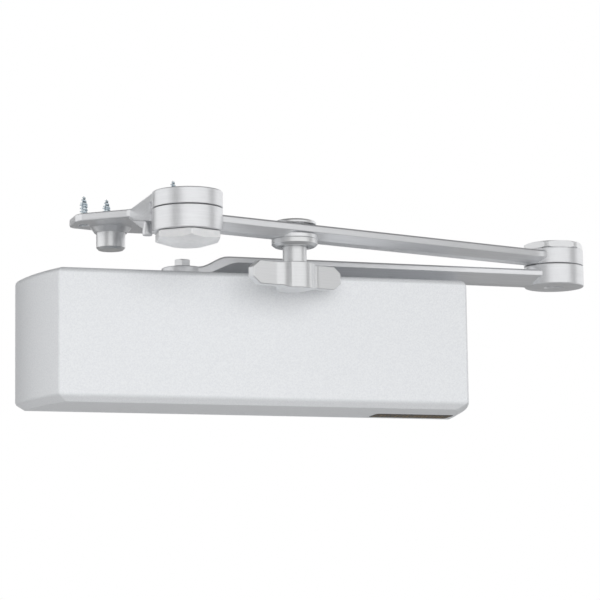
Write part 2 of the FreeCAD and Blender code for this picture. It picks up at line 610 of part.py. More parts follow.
def make_forearm():
    shoe_end = dict(FOREARM_BAR, half=FOREARM_BAR["half"] + FOREARM_TAPER)
    elbow_end = dict(FOREARM_BAR, half=FOREARM_BAR["half"] - FOREARM_TAPER)
    stations = [(0, shoe_end), (FOREARM_LENGTH, elbow_end)]
    bar = Part.makeLoft([bar_section(s, **section) for s, section in stations], True, True)
    shoe_hub = cylinder(SHOE_HUB_R, SHOE_HUB_Z, SHOE_HUB_TOP)
    elbow_hub = cylinder(ELBOW_R, FOREARM_HUB_Z, FOREARM_TOP, FOREARM_LENGTH)
    shoe_bore = STUD_R + RUN_FIT + BUSH_WALL
    holes = [cylinder(shoe_bore, SHOE_HUB_Z - 1, SHOE_HUB_TOP + 1),
             cylinder(ELBOW_JOURNAL_R + RUN_FIT + BUSH_WALL, FOREARM_HUB_Z - 1, FOREARM_TOP + 1, FOREARM_LENGTH),
             cylinder(HANDLE_BORE_R, FOREARM_HUB_Z - 1, FOREARM_TOP + 1, HANDLE_AT)]
    pad = cylinder(STEM_PAD_R, FOREARM_BAR["low"], FOREARM_BAR["low"] + STEM_PAD, HANDLE_AT)
    arm = fused(bar, shoe_hub, elbow_hub, pad).cut(holes)
    save_linkage("forearm", placed(arm, FOREARM_TURN, SHOE_X, SHOE_Y))
    bush = sleeve(STUD_R + RUN_FIT, shoe_bore - SEAT_FIT, SHOE_HUB_Z, SHOE_HUB_TOP)
    save_linkage("shoe_bush", moved(bush, SHOE_X, SHOE_Y))


# ---------------------------------------------------------------- thumb-turn
def make_handle():
    """Winged thumb-turn under the forearm, its stem carried in a bush through the arm."""
    bush = sleeve(STEM_R + RUN_FIT, HANDLE_BORE_R - SEAT_FIT, FOREARM_BAR["low"], FOREARM_BAR["top"])
    spigot_end = HANDLE_Z + 4
    retainer_top = RETAINER_Z + RETAINER_THICK
    stem = fused(cylinder(STEM_SPIGOT_R, spigot_end, RETAINER_Z + 1),
                 cylinder(STEM_R, HANDLE_TOP, RETAINER_Z),
                 cylinder(STEM_SPIGOT_R, RETAINER_Z, retainer_top - 0.5))
    collar = turned([(STEM_R + SEAT_FIT, COLLAR_Z), (COLLAR_R - 0.8, COLLAR_Z), (COLLAR_R, COLLAR_Z + 0.8),
                     (COLLAR_R, FOREARM_BAR["low"] - 0.1), (STEM_R + SEAT_FIT, FOREARM_BAR["low"] - 0.1)])
    spring = sleeve(STEM_R + 0.2, STEM_R + 3.6, FOREARM_BAR["top"] + 0.05, RETAINER_Z - 0.05)
    retainer = turned([(STEM_SPIGOT_R + SEAT_FIT, RETAINER_Z), (RETAINER_R, RETAINER_Z),
                       (RETAINER_R, retainer_top - 0.7), (RETAINER_R - 0.7, retainer_top),
                       (STEM_SPIGOT_R + SEAT_FIT, retainer_top)])

    boss_half, joint = HANDLE_BOSS_R * 0.72, HANDLE_BOSS_R * 1.36
    corner = V(boss_half, HANDLE_BOSS_R * 0.76, 0)
    blend = V((boss_half + joint) / 2 - 0.8, WING_HALF + 1.2, 0)
    start = V(joint, WING_HALF, 0)

    def flip(p, x_sign, y_sign):
        return V(p.x * x_sign, p.y * y_sign, 0)

    edges = []
    for y_sign in (1, -1):
        ends = [V(HANDLE_HALF, WING_HALF * y_sign, 0), flip(start, 1, y_sign)]
        edges.append(Part.makeLine(ends[0], ends[1]))
        edges.append(Part.Arc(*[flip(point, 1, y_sign) for point in (start, blend, corner)]).toShape())
        edges.append(Part.Arc(flip(corner, 1, y_sign), V(0, HANDLE_BOSS_R * y_sign, 0),
                              flip(corner, -1, y_sign)).toShape())
        edges.append(Part.Arc(*[flip(point, -1, y_sign) for point in (corner, blend, start)]).toShape())
        edges.append(Part.makeLine(flip(start, -1, y_sign), V(-HANDLE_HALF, WING_HALF * y_sign, 0)))
    for side in (-1, 1):
        edges.append(Part.makeLine(V(side * HANDLE_HALF, WING_HALF, 0), V(side * HANDLE_HALF, -WING_HALF, 0)))
    plan = Part.Face(Part.Wire(Part.__sortEdges__(edges)))
    boss_z = HANDLE_Z - HANDLE_BOSS_DROP
    plan.translate(V(0, 0, boss_z))
    block = plan.extrude(V(0, 0, HANDLE_TOP - boss_z))
    half, clip = HANDLE_HALF, HANDLE_HALF - HANDLE_CLIP_X
    low, high = HANDLE_Z + HANDLE_CLIP_Z, HANDLE_TOP - HANDLE_CLIP_Z
    sides = [(-half, high), (-half, low), (-clip, HANDLE_Z), (-HANDLE_BOSS_R, HANDLE_Z), (-boss_half, boss_z)]
    sides += [(-x, z) for x, z in reversed(sides)]
    sides += [(clip, HANDLE_TOP), (-clip, HANDLE_TOP)]
    side_view = prism([(x, -HANDLE_BOSS_R - 1, z) for x, z in sides], V(0, 2 * HANDLE_BOSS_R + 2, 0))
    wing = block.common(side_view).cut(cylinder(STEM_SPIGOT_R + SEAT_FIT, spigot_end, HANDLE_TOP + 1))

    turn = math.radians(FOREARM_TURN)
    x, y = SHOE_X + HANDLE_AT * math.cos(turn), SHOE_Y + HANDLE_AT * math.sin(turn)
    pieces = {"handle_bush": bush, "handle_stem": stem, "handle_collar": collar, "handle_spring_washer": spring,
              "handle_retainer": retainer, "handle_wing": wing}
    for name, shape in pieces.items():
        save_linkage(name, placed(shape, FOREARM_TURN, x, y))


# ---------------------------------------------------------------- shoe
def shoe_outline():
    """Plan of the frame plate: a neck from the pivot that opens to a wide end."""
    neck, half = SHOE_NECK_HALF, SHOE_HALF
    corner = half - (SHOE_BACK - SHOE_SIDE_END)
    side = [V(0, 0, 0), V(-neck, 0, 0), V(-neck, SHOE_NECK_LENGTH, 0), V(-half + 2, SHOE_SHOULDER - 6, 0),
            V(-half, SHOE_SHOULDER, 0), V(-half, SHOE_SIDE_END, 0)]
    edges = [Part.makeLine(a, b) for a, b in zip(side[1:], side[2:])]
    edges += [Part.makeLine(V(-a.x, a.y, 0), V(-b.x, b.y, 0)) for a, b in zip(side[1:], side[2:])]
    bend = (SHOE_BACK - SHOE_SIDE_END) * (1 - math.sqrt(0.5))
    for sign in (-1, 1):
        edges.append(Part.Arc(V(sign * half, SHOE_SIDE_END, 0), V(sign * (half - bend), SHOE_BACK - bend, 0),
                              V(sign * corner, SHOE_BACK, 0)).toShape())
    edges.append(Part.Arc(V(-corner, SHOE_BACK, 0), V(0, SHOE_BACK + SHOE_BACK_BOW, 0),
                          V(corner, SHOE_BACK, 0)).toShape())
    edges.append(Part.makeLine(V(-neck, 0, 0), V(neck, 0, 0)))
    return Part.Wire(Part.__sortEdges__(edges))


def wood_screw(low):
    """Wood screw without its head, pointing up: plain shank from low, thread and point."""
    tip = SHOE_TOP + WOOD_SCREW_OUT
    thread = SHOE_TOP + THREAD_START
    shank = cylinder(WOOD_SHANK_R, low, thread)
    point = Part.makeCone(WOOD_SCREW_R, 0, WOOD_SCREW_POINT, V(0, 0, tip - WOOD_SCREW_POINT))
    return fused(shank, cylinder(WOOD_SCREW_R, thread, tip - WOOD_SCREW_POINT), point)


def headed_screw(head_z):
    """Countersunk wood screw with its head at head_z."""
    head = Part.makeCone(WOOD_SCREW_HEAD_R, WOOD_SHANK_R, WOOD_SCREW_HEAD, V(0, 0, head_z))
    return fused(head, wood_screw(head_z + WOOD_SCREW_HEAD / 2))


def screw_way(x, y, head_z, below):
    """Clearance hole, countersink and the counterbore that leads to it."""
    r = WOOD_SCREW_R + 0.2
    sink = Part.makeCone(WOOD_SCREW_HEAD_R + 0.05, WOOD_SCREW_R + 0.05, WOOD_SCREW_HEAD, V(x, y, head_z))
    return [cylinder(r, below - 1, SHOE_TOP + 1, x, y), sink,
            cylinder(WOOD_SCREW_HEAD_R + 0.05, below - 1, head_z, x, y)]


def gusset(start, end, low_start, low_end):
    """Upright triangular rib under the plate between two plan points."""
    along = V(end[0] - start[0], end[1] - start[1], 0)
    across = V(-along.y, along.x, 0).normalize() * (RIB / 2)
    a, b = V(start[0], start[1], 0) - across, V(end[0], end[1], 0) - across
    top = PLATE_Z + 1
    points = [(a.x, a.y, low_start), (b.x, b.y, low_end), (b.x, b.y, top), (a.x, a.y, top)]
    return prism(points, across * 2)


def make_shoe():
    plate = Part.Face(shoe_outline()).extrude(V(0, 0, SHOE_PLATE))
    plate.translate(V(0, 0, PLATE_Z))
    boss = cylinder(SHOE_HUB_R, BOSS_Z, SHOE_TOP)
    neck_boss = cylinder(NECK_BOSS_R, NECK_BOSS_Z, PLATE_Z + 1, 0, NECK_SCREW_Y)
    post_x, post_y = POST_CENTRE
    post_screw = (-INNER_SCREW[0], INNER_SCREW[1])
    flare = Part.makeCone(POST_R + 1.2, POST_FLARE_R, POST_FLARE, V(post_x, post_y, PLATE_Z - POST_FLARE))
    centre = (0, NECK_SCREW_Y)
    ribs = [gusset(centre, (0, SHOE_BACK + SHOE_BACK_BOW - 8), NECK_BOSS_Z + 3, PLATE_Z - 1)]
    ribs.append(gusset(centre, FOLD_RIB_END, NECK_BOSS_Z + 3, PLATE_Z - 1))
    ribs.append(gusset(SIDE_BOSS, SIDE_RIB_END, SIDE_BOSS_Z + 3, PLATE_Z - 1))
    edge, top = -SHOE_NECK_HALF, PLATE_Z + 1
    ribs.append(prism([(edge, SKIRT_START, SKIRT_LOW[0]), (edge, SHOE_NECK_LENGTH, SKIRT_LOW[1]),
                       (edge, SHOE_NECK_LENGTH, top), (edge, SKIRT_START, top)], V(SKIRT, 0, 0)))
    side_boss = cylinder(SIDE_BOSS_R, SIDE_BOSS_Z, PLATE_Z + 1, *SIDE_BOSS)
    bracket = fused(plate, boss, neck_boss, side_boss, flare, *ribs)

    flush = PLATE_Z + SCREW_SINK
    flush_at = [(-OUTER_SCREW[0], OUTER_SCREW[1]), OUTER_SCREW, INNER_SCREW]
    neck_head = NECK_BOSS_Z + SCREW_SINK
    cuts = [cylinder(STUD_R + SEAT_FIT, BOSS_Z - 1, SHOE_TOP + 1),
            cylinder(STUD_HEAD_R + SEAT_FIT, SHOE_TOP - STUD_HEAD, SHOE_TOP + 1),
            cylinder(POST_R + SEAT_FIT, PLATE_Z - POST_FLARE - 1, PLATE_Z, post_x, post_y),
            cylinder(WOOD_SCREW_R + 0.2, PLATE_Z - 1, SHOE_TOP + 1, *post_screw)]
    for x, y in flush_at:
        cuts += screw_way(x, y, flush, PLATE_Z)
    cuts += screw_way(0, NECK_SCREW_Y, neck_head, NECK_BOSS_Z)
    save_linkage("shoe_bracket", moved(bracket.cut(cuts), SHOE_X, SHOE_Y))

    post = turned([(0, POST_Z), (POST_R - POST_CHAMFER, POST_Z), (POST_R, POST_Z + POST_CHAMFER),
                   (POST_R, PLATE_Z), (0, PLATE_Z)])
    post = post.cut(cylinder(WOOD_SHANK_R + SEAT_FIT, POST_Z + POST_FLOOR, PLATE_Z + 1,
                             post_screw[0] - post_x, post_screw[1] - post_y))
    save_linkage("stop_post", moved(post, SHOE_X + post_x, SHOE_Y + post_y))
    save_linkage("shoe_screws", *[moved(headed_screw(flush), SHOE_X + x, SHOE_Y + y) for x, y in flush_at])
    hanger = wood_screw(POST_Z + POST_FLOOR)
    save_linkage("shoe_long_screws", moved(headed_screw(neck_head), SHOE_X, SHOE_Y + NECK_SCREW_Y),
         moved(hanger, SHOE_X + post_screw[0], SHOE_Y + post_screw[1]))


def make_shoe_pivot():
    stud = fused(cylinder(STUD_R, NUT_Z + NUT_CONE, SHOE_TOP),
                 cylinder(STUD_HEAD_R, SHOE_TOP - STUD_HEAD, SHOE_TOP))
    cone = turned([(0, NUT_Z), (NUT_FACE_R, NUT_Z), (NUT_R, NUT_Z + NUT_CONE), (NUT_R, NUT_TOP), (0, NUT_TOP)])
    nut = hexagon(NUT_R, NUT_Z, NUT_TOP, NUT_TURN).common(cone)
    nut = nut.cut(cylinder(STUD_R + SEAT_FIT, NUT_Z + NUT_CONE, NUT_TOP + 1))
    washer_r = STUD_R + 7
    pieces = {"shoe_pivot_stud": stud, "shoe_pivot_nut": nut,
              "shoe_upper_washer": sleeve(STUD_R + RUN_FIT, washer_r, SHOE_HUB_TOP + 0.05, BOSS_Z),
              "shoe_lower_washer": sleeve(STUD_R + RUN_FIT, washer_r, NUT_TOP, SHOE_HUB_Z - 0.05)}
    for name, shape in pieces.items():
        save_linkage(name, moved(shape, SHOE_X, SHOE_Y))


os.makedirs("parts", exist_ok=True)
make_cover()
make_body()
make_end_caps()
make_bearings()
make_pinion()
make_piston()
make_springs()
make_valves()
make_main_arm()
make_elbow()
make_forearm()
make_handle()
make_shoe()
make_shoe_pivot()
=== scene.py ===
# %% [markdown]
# # A surface door closer
# The engineering model of the closer already exists: a cover, a folding arm, a shoe that
# screws to the door frame and the works inside. This notebook loads it, keeps what is right,
# and rebuilds what shows with softer edges, screw threads and real finishes.

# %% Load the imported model
import json
import math
import bmesh
import bpy
from mathutils import Matrix, Vector


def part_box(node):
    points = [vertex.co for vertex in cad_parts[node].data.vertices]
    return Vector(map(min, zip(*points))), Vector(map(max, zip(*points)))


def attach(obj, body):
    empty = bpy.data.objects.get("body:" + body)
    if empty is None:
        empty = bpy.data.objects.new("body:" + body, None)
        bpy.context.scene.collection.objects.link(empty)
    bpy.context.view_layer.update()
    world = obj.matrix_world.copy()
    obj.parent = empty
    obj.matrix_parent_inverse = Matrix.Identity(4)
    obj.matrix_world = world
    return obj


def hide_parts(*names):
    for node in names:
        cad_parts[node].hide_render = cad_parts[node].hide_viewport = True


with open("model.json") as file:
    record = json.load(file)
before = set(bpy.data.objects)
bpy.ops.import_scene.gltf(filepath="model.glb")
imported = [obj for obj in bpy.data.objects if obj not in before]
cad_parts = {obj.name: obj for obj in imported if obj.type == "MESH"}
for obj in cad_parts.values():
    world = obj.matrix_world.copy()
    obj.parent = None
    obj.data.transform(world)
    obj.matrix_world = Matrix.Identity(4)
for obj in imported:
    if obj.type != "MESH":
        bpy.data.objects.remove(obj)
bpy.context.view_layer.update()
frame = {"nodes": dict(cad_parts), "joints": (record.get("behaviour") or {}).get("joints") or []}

# %% [markdown]
# ## Places come from the model
# Every pivot is a joint of the record, and every height is a node's box, so a rebuilt piece
# lands where its engineering twin is. Sizes are easier to read in millimetres, so the
# mesh helpers take millimetres and turn them into Blender's metres at the last moment.

# %% Pivots and measured boxes, in millimetres
MM = 0.001
pivots = {joint["name"]: Vector(joint["pos_m"]) / MM for joint in frame["joints"] if joint.get("pos_m")}


def box(node):
    """Lowest and highest corner of a CAD node, in millimetres."""
    low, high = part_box(node)
    return low / MM, high / MM


pinion = pivots["main_arm_swing"]
elbow = pivots["elbow_swing"]
shoe = pivots["shoe_swing"]
handle = pivots["hold_open_turn"]
main_turn = math.atan2(elbow.y - pinion.y, elbow.x - pinion.x)
main_length = math.hypot(elbow.x - pinion.x, elbow.y - pinion.y)
fore_turn = math.atan2(elbow.y - shoe.y, elbow.x - shoe.x)
fore_length = math.hypot(elbow.x - shoe.x, elbow.y - shoe.y)
print(f"main arm {main_length:.1f} mm, forearm {fore_length:.1f} mm between pivots")

# %% [markdown]
# ## Colours and nodes
# Paint charts give a colour as an sRGB hex value, but Blender calculates with linear light, so
# one function converts it. A material is a small network of nodes; one
# function adds a node, sets it up and links it, and every finish below is written with it.

# %% Colour and node helpers
def srgb(hex_colour):
    """The linear colour of an sRGB hex value."""
    channels = [int(hex_colour[i:i + 2], 16) / 255 for i in (1, 3, 5)]
    linear = [c / 12.92 if c <= 0.04045 else ((c + 0.055) / 1.055) ** 2.4 for c in channels]
    return (*linear, 1.0)


def add(tree, kind, inputs=(), **settings):
    """Add one node. Settings are its properties; inputs are values, or the outputs that feed it."""
    made = tree.nodes.new(kind)
    for name, value in settings.items():
        setattr(made, name, value)
    for name, value in dict(inputs).items():
        if isinstance(value, bpy.types.NodeSocket):
            tree.links.new(value, made.inputs[name])
        else:
            made.inputs[name].default_value = value
    return made


def grain(tree, size, detail=2.0, stretch=(1, 1, 1)):
    """Noise whose grains are about size millimetres wide, stretched along an axis where asked."""
    place = add(tree, "ShaderNodeTexCoord").outputs["Object"]
    place = add(tree, "ShaderNodeMapping", {"Vector": place, "Scale": stretch}).outputs[0]
    scale = 1 / (size * MM)
    return add(tree, "ShaderNodeTexNoise", {"Vector": place, "Scale": scale, "Detail": detail}).outputs["Fac"]


def spread(tree, value, low, high, narrow=(0.35, 0.65)):
    """Map the middle of a noise onto the span from low to high."""
    ends = {"Value": value, "From Min": narrow[0], "From Max": narrow[1], "To Min": low, "To Max": high}
    return add(tree, "ShaderNodeMapRange", ends).outputs["Result"]


def blend_colours(tree, factor, first, second):
    mixed = add(tree, "ShaderNodeMix", {0: factor, 6: srgb(first), 7: srgb(second)}, data_type="RGBA")
    return mixed.outputs[2]


def bump(tree, height, depth, strength=1.0):
    """A surface relief whose full height is depth millimetres."""
    levels = {"Height": height, "Distance": depth * MM, "Strength": strength}
    return add(tree, "ShaderNodeBump", levels).outputs["Normal"]


def finish(name, colour, roughness, metallic=0.0, normal=None, **more):
    """A Principled material. Colour, roughness and normal may be functions that add their nodes."""
    material = bpy.data.materials.new(name)
    material.use_nodes = True
    tree = material.node_tree
    tree.nodes.clear()
    values = {"Metallic": metallic, "Base Color": colour(tree), "Roughness": roughness(tree)}
    if normal:
        values["Normal"] = normal(tree)
    values.update(more)
    shader = add(tree, "ShaderNodeBsdfPrincipled", values)
    add(tree, "ShaderNodeOutputMaterial", {"Surface": shader.outputs[0]})
    return material


def mottled(pattern, first, second):
    """Colour that wanders between two, over a grain given by its size, detail and stretch."""
    return lambda tree: blend_colours(tree, spread(tree, grain(tree, *pattern), 0, 1), first, second)


def uneven(pattern, low, high):
    """Roughness that wanders between two values over a grain."""
    return lambda tree: spread(tree, grain(tree, *pattern), low, high)


def relief(pattern, depth):
    """Bumps of a grain, depth millimetres high."""
    return lambda tree: bump(tree, grain(tree, *pattern), depth)


# %% [markdown]
# ## The painted cover
# The cover is moulded ABS sprayed with an aluminium-coloured lacquer. Metal flake in the
# lacquer gives it a slight shine that follows the light, under a fine sparkle. It could be a
# grey plastic with a clear coat, but then the ends wouldn't darken as they turn away, so the
# lacquer is part metal. The flakes are 0.05 mm on the real part; they are drawn at 0.9 mm,
# because anything finer than a rendered dot would vanish.

# %% Aluminium lacquer on ABS
FLAKE = 0.9
ORANGE_PEEL = 2.5

lacquer = finish(
    "aluminium_lacquer_on_abs",
    colour=mottled((FLAKE, 3.0), "#DFE1E4", "#E8EAEC"),
    roughness=uneven((FLAKE, 1.0), 0.40, 0.46),
    normal=relief((ORANGE_PEEL,), 0.006),
    metallic=0.22)

# %% [markdown]
# ## Lacquered and turned steel
# The arms are forged steel and the hubs are turned on a lathe, then both are lacquered silver.
# Turning leaves rings round the axis, and all these axes are upright, so a noise that is
# squeezed along Z draws rings on the hubs and draw lines along the bars. The true feed
# is near 0.1 mm; the lines are drawn about 0.6 mm apart to show.

# %% Forged arms, turned steel, zinc plate
TURNING = 0.6
ALONG = (0.03, 0.03, 1.0)        # squeeze: long in the plane, fine in height

TURNED = (TURNING, 2.0, ALONG)

arm_lacquer = finish(
    "silver_lacquer_on_forged_steel",
    colour=mottled(TURNED, "#E9EAEC", "#EEEFF1"),
    roughness=uneven((5.0, 2.0), 0.35, 0.39),
    normal=relief(TURNED, 0.002),
    metallic=0.8)
satin = finish(
    "satin_turned_steel",
    colour=mottled(TURNED, "#EBECED", "#F0F1F2"),
    roughness=uneven(TURNED, 0.36, 0.41),
    normal=relief(TURNED, 0.002),
    metallic=1.0)
plated = finish(
    "matte_plated_steel",
    colour=mottled((4.0, 2.0), "#EEEFF0", "#F4F4F5"),
    roughness=uneven((3.0, 2.0), 0.40, 0.46),
    normal=relief((1.0, 2.0), 0.002),
    metallic=0.6)
zinc = finish(
    "bright_zinc_plate",
    colour=mottled((1.5, 3.0), "#A9B6BF", "#D8E1E6"),
    roughness=uneven((0.8, 2.0), 0.18, 0.32),
    normal=relief((0.4, 2.0), 0.01),
    metallic=1.0)

# %% [markdown]
# ## The finishes inside
# The works are seen only from the open back of the cover: a sand-cast iron body left grey,
# ground steel, blue-black spring wire, brass valves, bronze bushes and rubber rings. Each one
# keeps its engineering mesh, whose shape is right, and only needs its finish.

# %% Cast iron, ground steel, spring wire, brass, bronze, rubber
SAND = 0.7

cast_iron = finish(
    "sand_cast_iron",
    colour=mottled((6.0, 4.0), "#6E7174", "#85888B"),
    roughness=uneven((SAND, 3.0), 0.5, 0.7),
    normal=relief((SAND, 4.0), 0.12),
    metallic=0.6)
ground_steel = finish(
    "ground_steel",
    colour=mottled(TURNED, "#B9BCC0", "#CDD0D3"),
    roughness=uneven((0.5, 2.0), 0.25, 0.35),
    normal=relief(TURNED, 0.008),
    metallic=1.0)
spring_wire = finish(
    "oil_tempered_spring_wire",
    colour=mottled((3.0, 3.0), "#4B5157", "#666C73"),
    roughness=uneven((1.0, 2.0), 0.35, 0.5),
    metallic=1.0)
brass = finish(
    "turned_brass",
    colour=mottled((2.0, 3.0), "#BFA05A", "#D2B56F"),
    roughness=uneven((0.5, 2.0), 0.25, 0.38),
    normal=relief((0.4, 1.0), 0.008),
    metallic=1.0)
bronze = finish(
    "sintered_bronze",
    colour=mottled((0.6, 4.0), "#8C6A3C", "#AE8A55"),
    roughness=uneven((0.6, 2.0), 0.45, 0.6),
    normal=relief((0.5, 3.0), 0.03),
    metallic=1.0)
rubber = finish(
    "nitrile_rubber",
    colour=mottled((2.0, 3.0), "#1D1E20", "#2A2B2D"),
    roughness=uneven((0.8, 2.0), 0.6, 0.75),
    normal=relief((0.6, 2.0), 0.02))
film = finish(
    "black_label_film",
    colour=mottled((2.0, 3.0), "#2B2C2E", "#3A3B3D"),
    roughness=uneven((1.0, 2.0), 0.35, 0.45),
    normal=relief((1.2, 2.0), 0.005))
gold_ink = finish(
    "gold_foil_print",
    colour=mottled((1.0, 3.0), "#B98A2E", "#D8AE55"),
    roughness=uneven((0.6, 2.0), 0.3, 0.45),
    metallic=0.9)

SLOT_FINISH = {
    "painted_cover": lacquer, "painted_arm": arm_lacquer, "satin_steel": satin, "zinc_screw": zinc,
    "label_film": film, "cast_iron": cast_iron, "machined_steel": ground_steel,
    "spring_steel": spring_wire, "brass": brass, "bronze_bush": bronze, "rubber": rubber,
}
for node in frame["nodes"].values():
    for place in node.material_slots:
        place.material = SLOT_FINISH[place.material.name.split(".")[0]]
print(len(SLOT_FINISH), "finishes on", len(frame["nodes"]), "nodes")

# %% [markdown]
# ## Mesh helpers
# Most pieces are either turned (an outline spun round an upright axis) or lofted (one section
# after another along a line). Real edges are never knife sharp, so outlines take a radius at
# each corner. Holes and joined bosses are Boolean modifiers, baked at once so that the
# finished piece is a plain mesh. Weighted normals keep the flats flat beside the small radii.

# %% Outlines, lofts and turned shapes
def rounded(corners, closed=True, steps=4):
    """Replace each (x, y, radius) corner of an outline with an arc of that radius."""
    points = []
    for k, corner in enumerate(corners):
        here = Vector(corner[:2])
        radius = corner[2] if len(corner) > 2 else 0
        if radius == 0 or (not closed and k in (0, len(corners) - 1)):
            points.append(tuple(here))
            continue
        back = (Vector(corners[k - 1][:2]) - here).normalized()
        ahead = (Vector(corners[(k + 1) % len(corners)][:2]) - here).normalized()
        half = back.angle(ahead) / 2
        centre = here + (back + ahead).normalized() * radius / math.sin(half)
        start = here + back * radius / math.tan(half) - centre
        end = here + ahead * radius / math.tan(half) - centre
        points += [tuple(centre + start.slerp(end, step / steps).normalized() * radius) for step in range(steps + 1)]
    return points


def new_piece(name, points, faces):
    """A mesh object from points in millimetres, closed and facing outwards."""
    mesh = bpy.data.meshes.new(name)
    mesh.from_pydata([Vector(p) * MM for p in points], [], faces)
    shape = bmesh.new()
    shape.from_mesh(mesh)
    bmesh.ops.remove_doubles(shape, verts=shape.verts, dist=1e-7)
    bmesh.ops.recalc_face_normals(shape, faces=shape.faces)
    shape.to_mesh(mesh)
    shape.free()
    made = bpy.data.objects.new(name, mesh)
    bpy.context.scene.collection.objects.link(made)
    return made


def loft(name, rings, hollow=False):
    """Skin equal rings of points, with a flat face over the first and last ring unless hollow."""
    count = len(rings[0])
    if hollow:
        rings = rings + rings[:1]
    points = [p for ring in rings for p in ring]
    faces = [(r * count + k, r * count + (k + 1) % count, (r + 1) * count + (k + 1) % count, (r + 1) * count + k)
             for r in range(len(rings) - 1) for k in range(count)]
    if not hollow:
        faces += [tuple(range(count)), tuple(range(len(points) - count, len(points)))]
    return new_piece(name, points, faces)


def turned(name, outline, x=0.0, y=0.0, hollow=False, sides=96):
    """Spin (radius, height) points round the upright line at x, y."""
    angles = [2 * math.pi * k / sides for k in range(sides)]
    rings = [[(x + r * math.cos(a), y + r * math.sin(a), z) for a in angles] for r, z in outline]
    return loft(name, rings, hollow)


def prism(name, outline, low, high):
    """Raise a plan outline from low to high."""
    return loft(name, [[(x, y, z) for x, y in outline] for z in (low, high)])


def hexagon(radius, turn=0.0, x=0.0, y=0.0, corner=0.6):
    """Plan of a hexagon with its corners barely rounded; turn is in degrees."""
    angles = [math.radians(turn + 60 * k) for k in range(6)]
    return rounded([(x + radius * math.cos(a), y + radius * math.sin(a), corner) for a in angles])


# %% Turning, joining and finishing pieces
def bake(piece):
    """Turn a piece's modifiers into plain mesh."""
    bpy.context.view_layer.update()
    result = bpy.data.meshes.new_from_object(piece.evaluated_get(bpy.context.evaluated_depsgraph_get()))
    piece.modifiers.clear()
    piece.data = result
    return piece


def carve(piece, cutters, how="DIFFERENCE"):
    """Cut, join or keep the overlap with other pieces, which are used up."""
    for cutter in cutters:
        modifier = piece.modifiers.new("carve", "BOOLEAN")
        modifier.operation = how
        modifier.solver = "EXACT"
        modifier.object = cutter
    bake(piece)
    for cutter in cutters:
        bpy.data.objects.remove(cutter)
    return piece


def soften(piece, width, angle=30, segments=2):
    """Round the edges that turn by more than angle degrees."""
    modifier = piece.modifiers.new("soften", "BEVEL")
    modifier.limit_method = "ANGLE"
    modifier.angle_limit = math.radians(angle)
    modifier.width = width * MM
    modifier.segments = segments
    return bake(piece)


def place(piece, turn, x, y):
    """Turn a piece that was made about the origin, and carry it to its pivot."""
    piece.data.transform(Matrix.Translation((x * MM, y * MM, 0)) @ Matrix.Rotation(turn, 4, "Z"))
    return piece


def fit_out(piece, body, slot, *nodes, material=None):
    """Give a finished piece its shading, its finish and its body, and hide the nodes that it stands for."""
    piece.data.shade_smooth()
    piece.data.set_sharp_from_angle(angle=math.radians(32))
    weighted = piece.modifiers.new("weighted", "WEIGHTED_NORMAL")
    weighted.keep_sharp = True
    bake(piece)
    piece.data.materials.clear()
    piece.data.materials.append(material or SLOT_FINISH[slot])
    piece.data.polygons.foreach_set("material_index", [0] * len(piece.data.polygons))
    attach(piece, body)
    if nodes:
        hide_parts(*nodes)
    print(f"{piece.name}: {len(piece.data.polygons)} faces")
    return piece


# %% [markdown]
# ## The cover
# A thin moulded box, open at the door. Its front is flat, its ends bow outwards, the top edge
# is rounded and a narrow bevel runs round the foot. A bevelled cube can't bow its ends, so the
# cover is lofted: one plan outline, repeated at each height with its own inset. The
# same outline 2 mm further in makes the inside, and the open back joins the two.

# %% Cover shell
FRONT_LENGTH = 280.2       # between the two front creases
END_BULGE = 3.0
BEVEL_IN = 6.4
BEVEL_DROP = 3.8
WALL = 2.0
TOP_ROUND = 4.0
CREASE_ROUND = 1.6
BEVEL_ROUND = 0.9

cover_low, cover_high = box("cover")


def cover_line(inset, z, steps=18):
    """Plan of the cover from its left back corner, round the front, to its right back corner."""
    front, back = FRONT_LENGTH / 2 - inset, cover_high.x - inset
    depth = -cover_low.y - inset
    middle_x, middle_y = (front + back) / 2, -depth / 2
    lean = Vector((depth, front - back)).normalized() * END_BULGE
    right = []
    for k in range(steps + 1):
        t = k / steps
        bow = 4 * t * (1 - t)
        right.append(Vector((back + (front - back) * t + lean.x * bow, -depth * t + lean.y * bow)))
    crease = rounded([tuple(right[-2]), (*right[-1], max(CREASE_ROUND - inset / 3, 0.5)), (0, -depth)], closed=False)
    half = [tuple(p) for p in right[:-2]] + crease[:-1]
    return [(-x, y, z) for x, y in half] + [(x, y, z) for x, y in reversed(half)]


def cover_rings(inset, top_round):
    """Outlines from the middle of the foot up to the top, all set in by inset."""
    foot, top, crease = cover_low.z + inset, cover_high.z - inset, cover_low.z + BEVEL_DROP
    profile = rounded([(BEVEL_IN + 5, foot), (BEVEL_IN, foot, BEVEL_ROUND), (0, crease, 3.0),
                       (0, top, top_round), (12, top)], closed=False, steps=6)
    return [cover_line(inset + d, z) for d, z in profile]


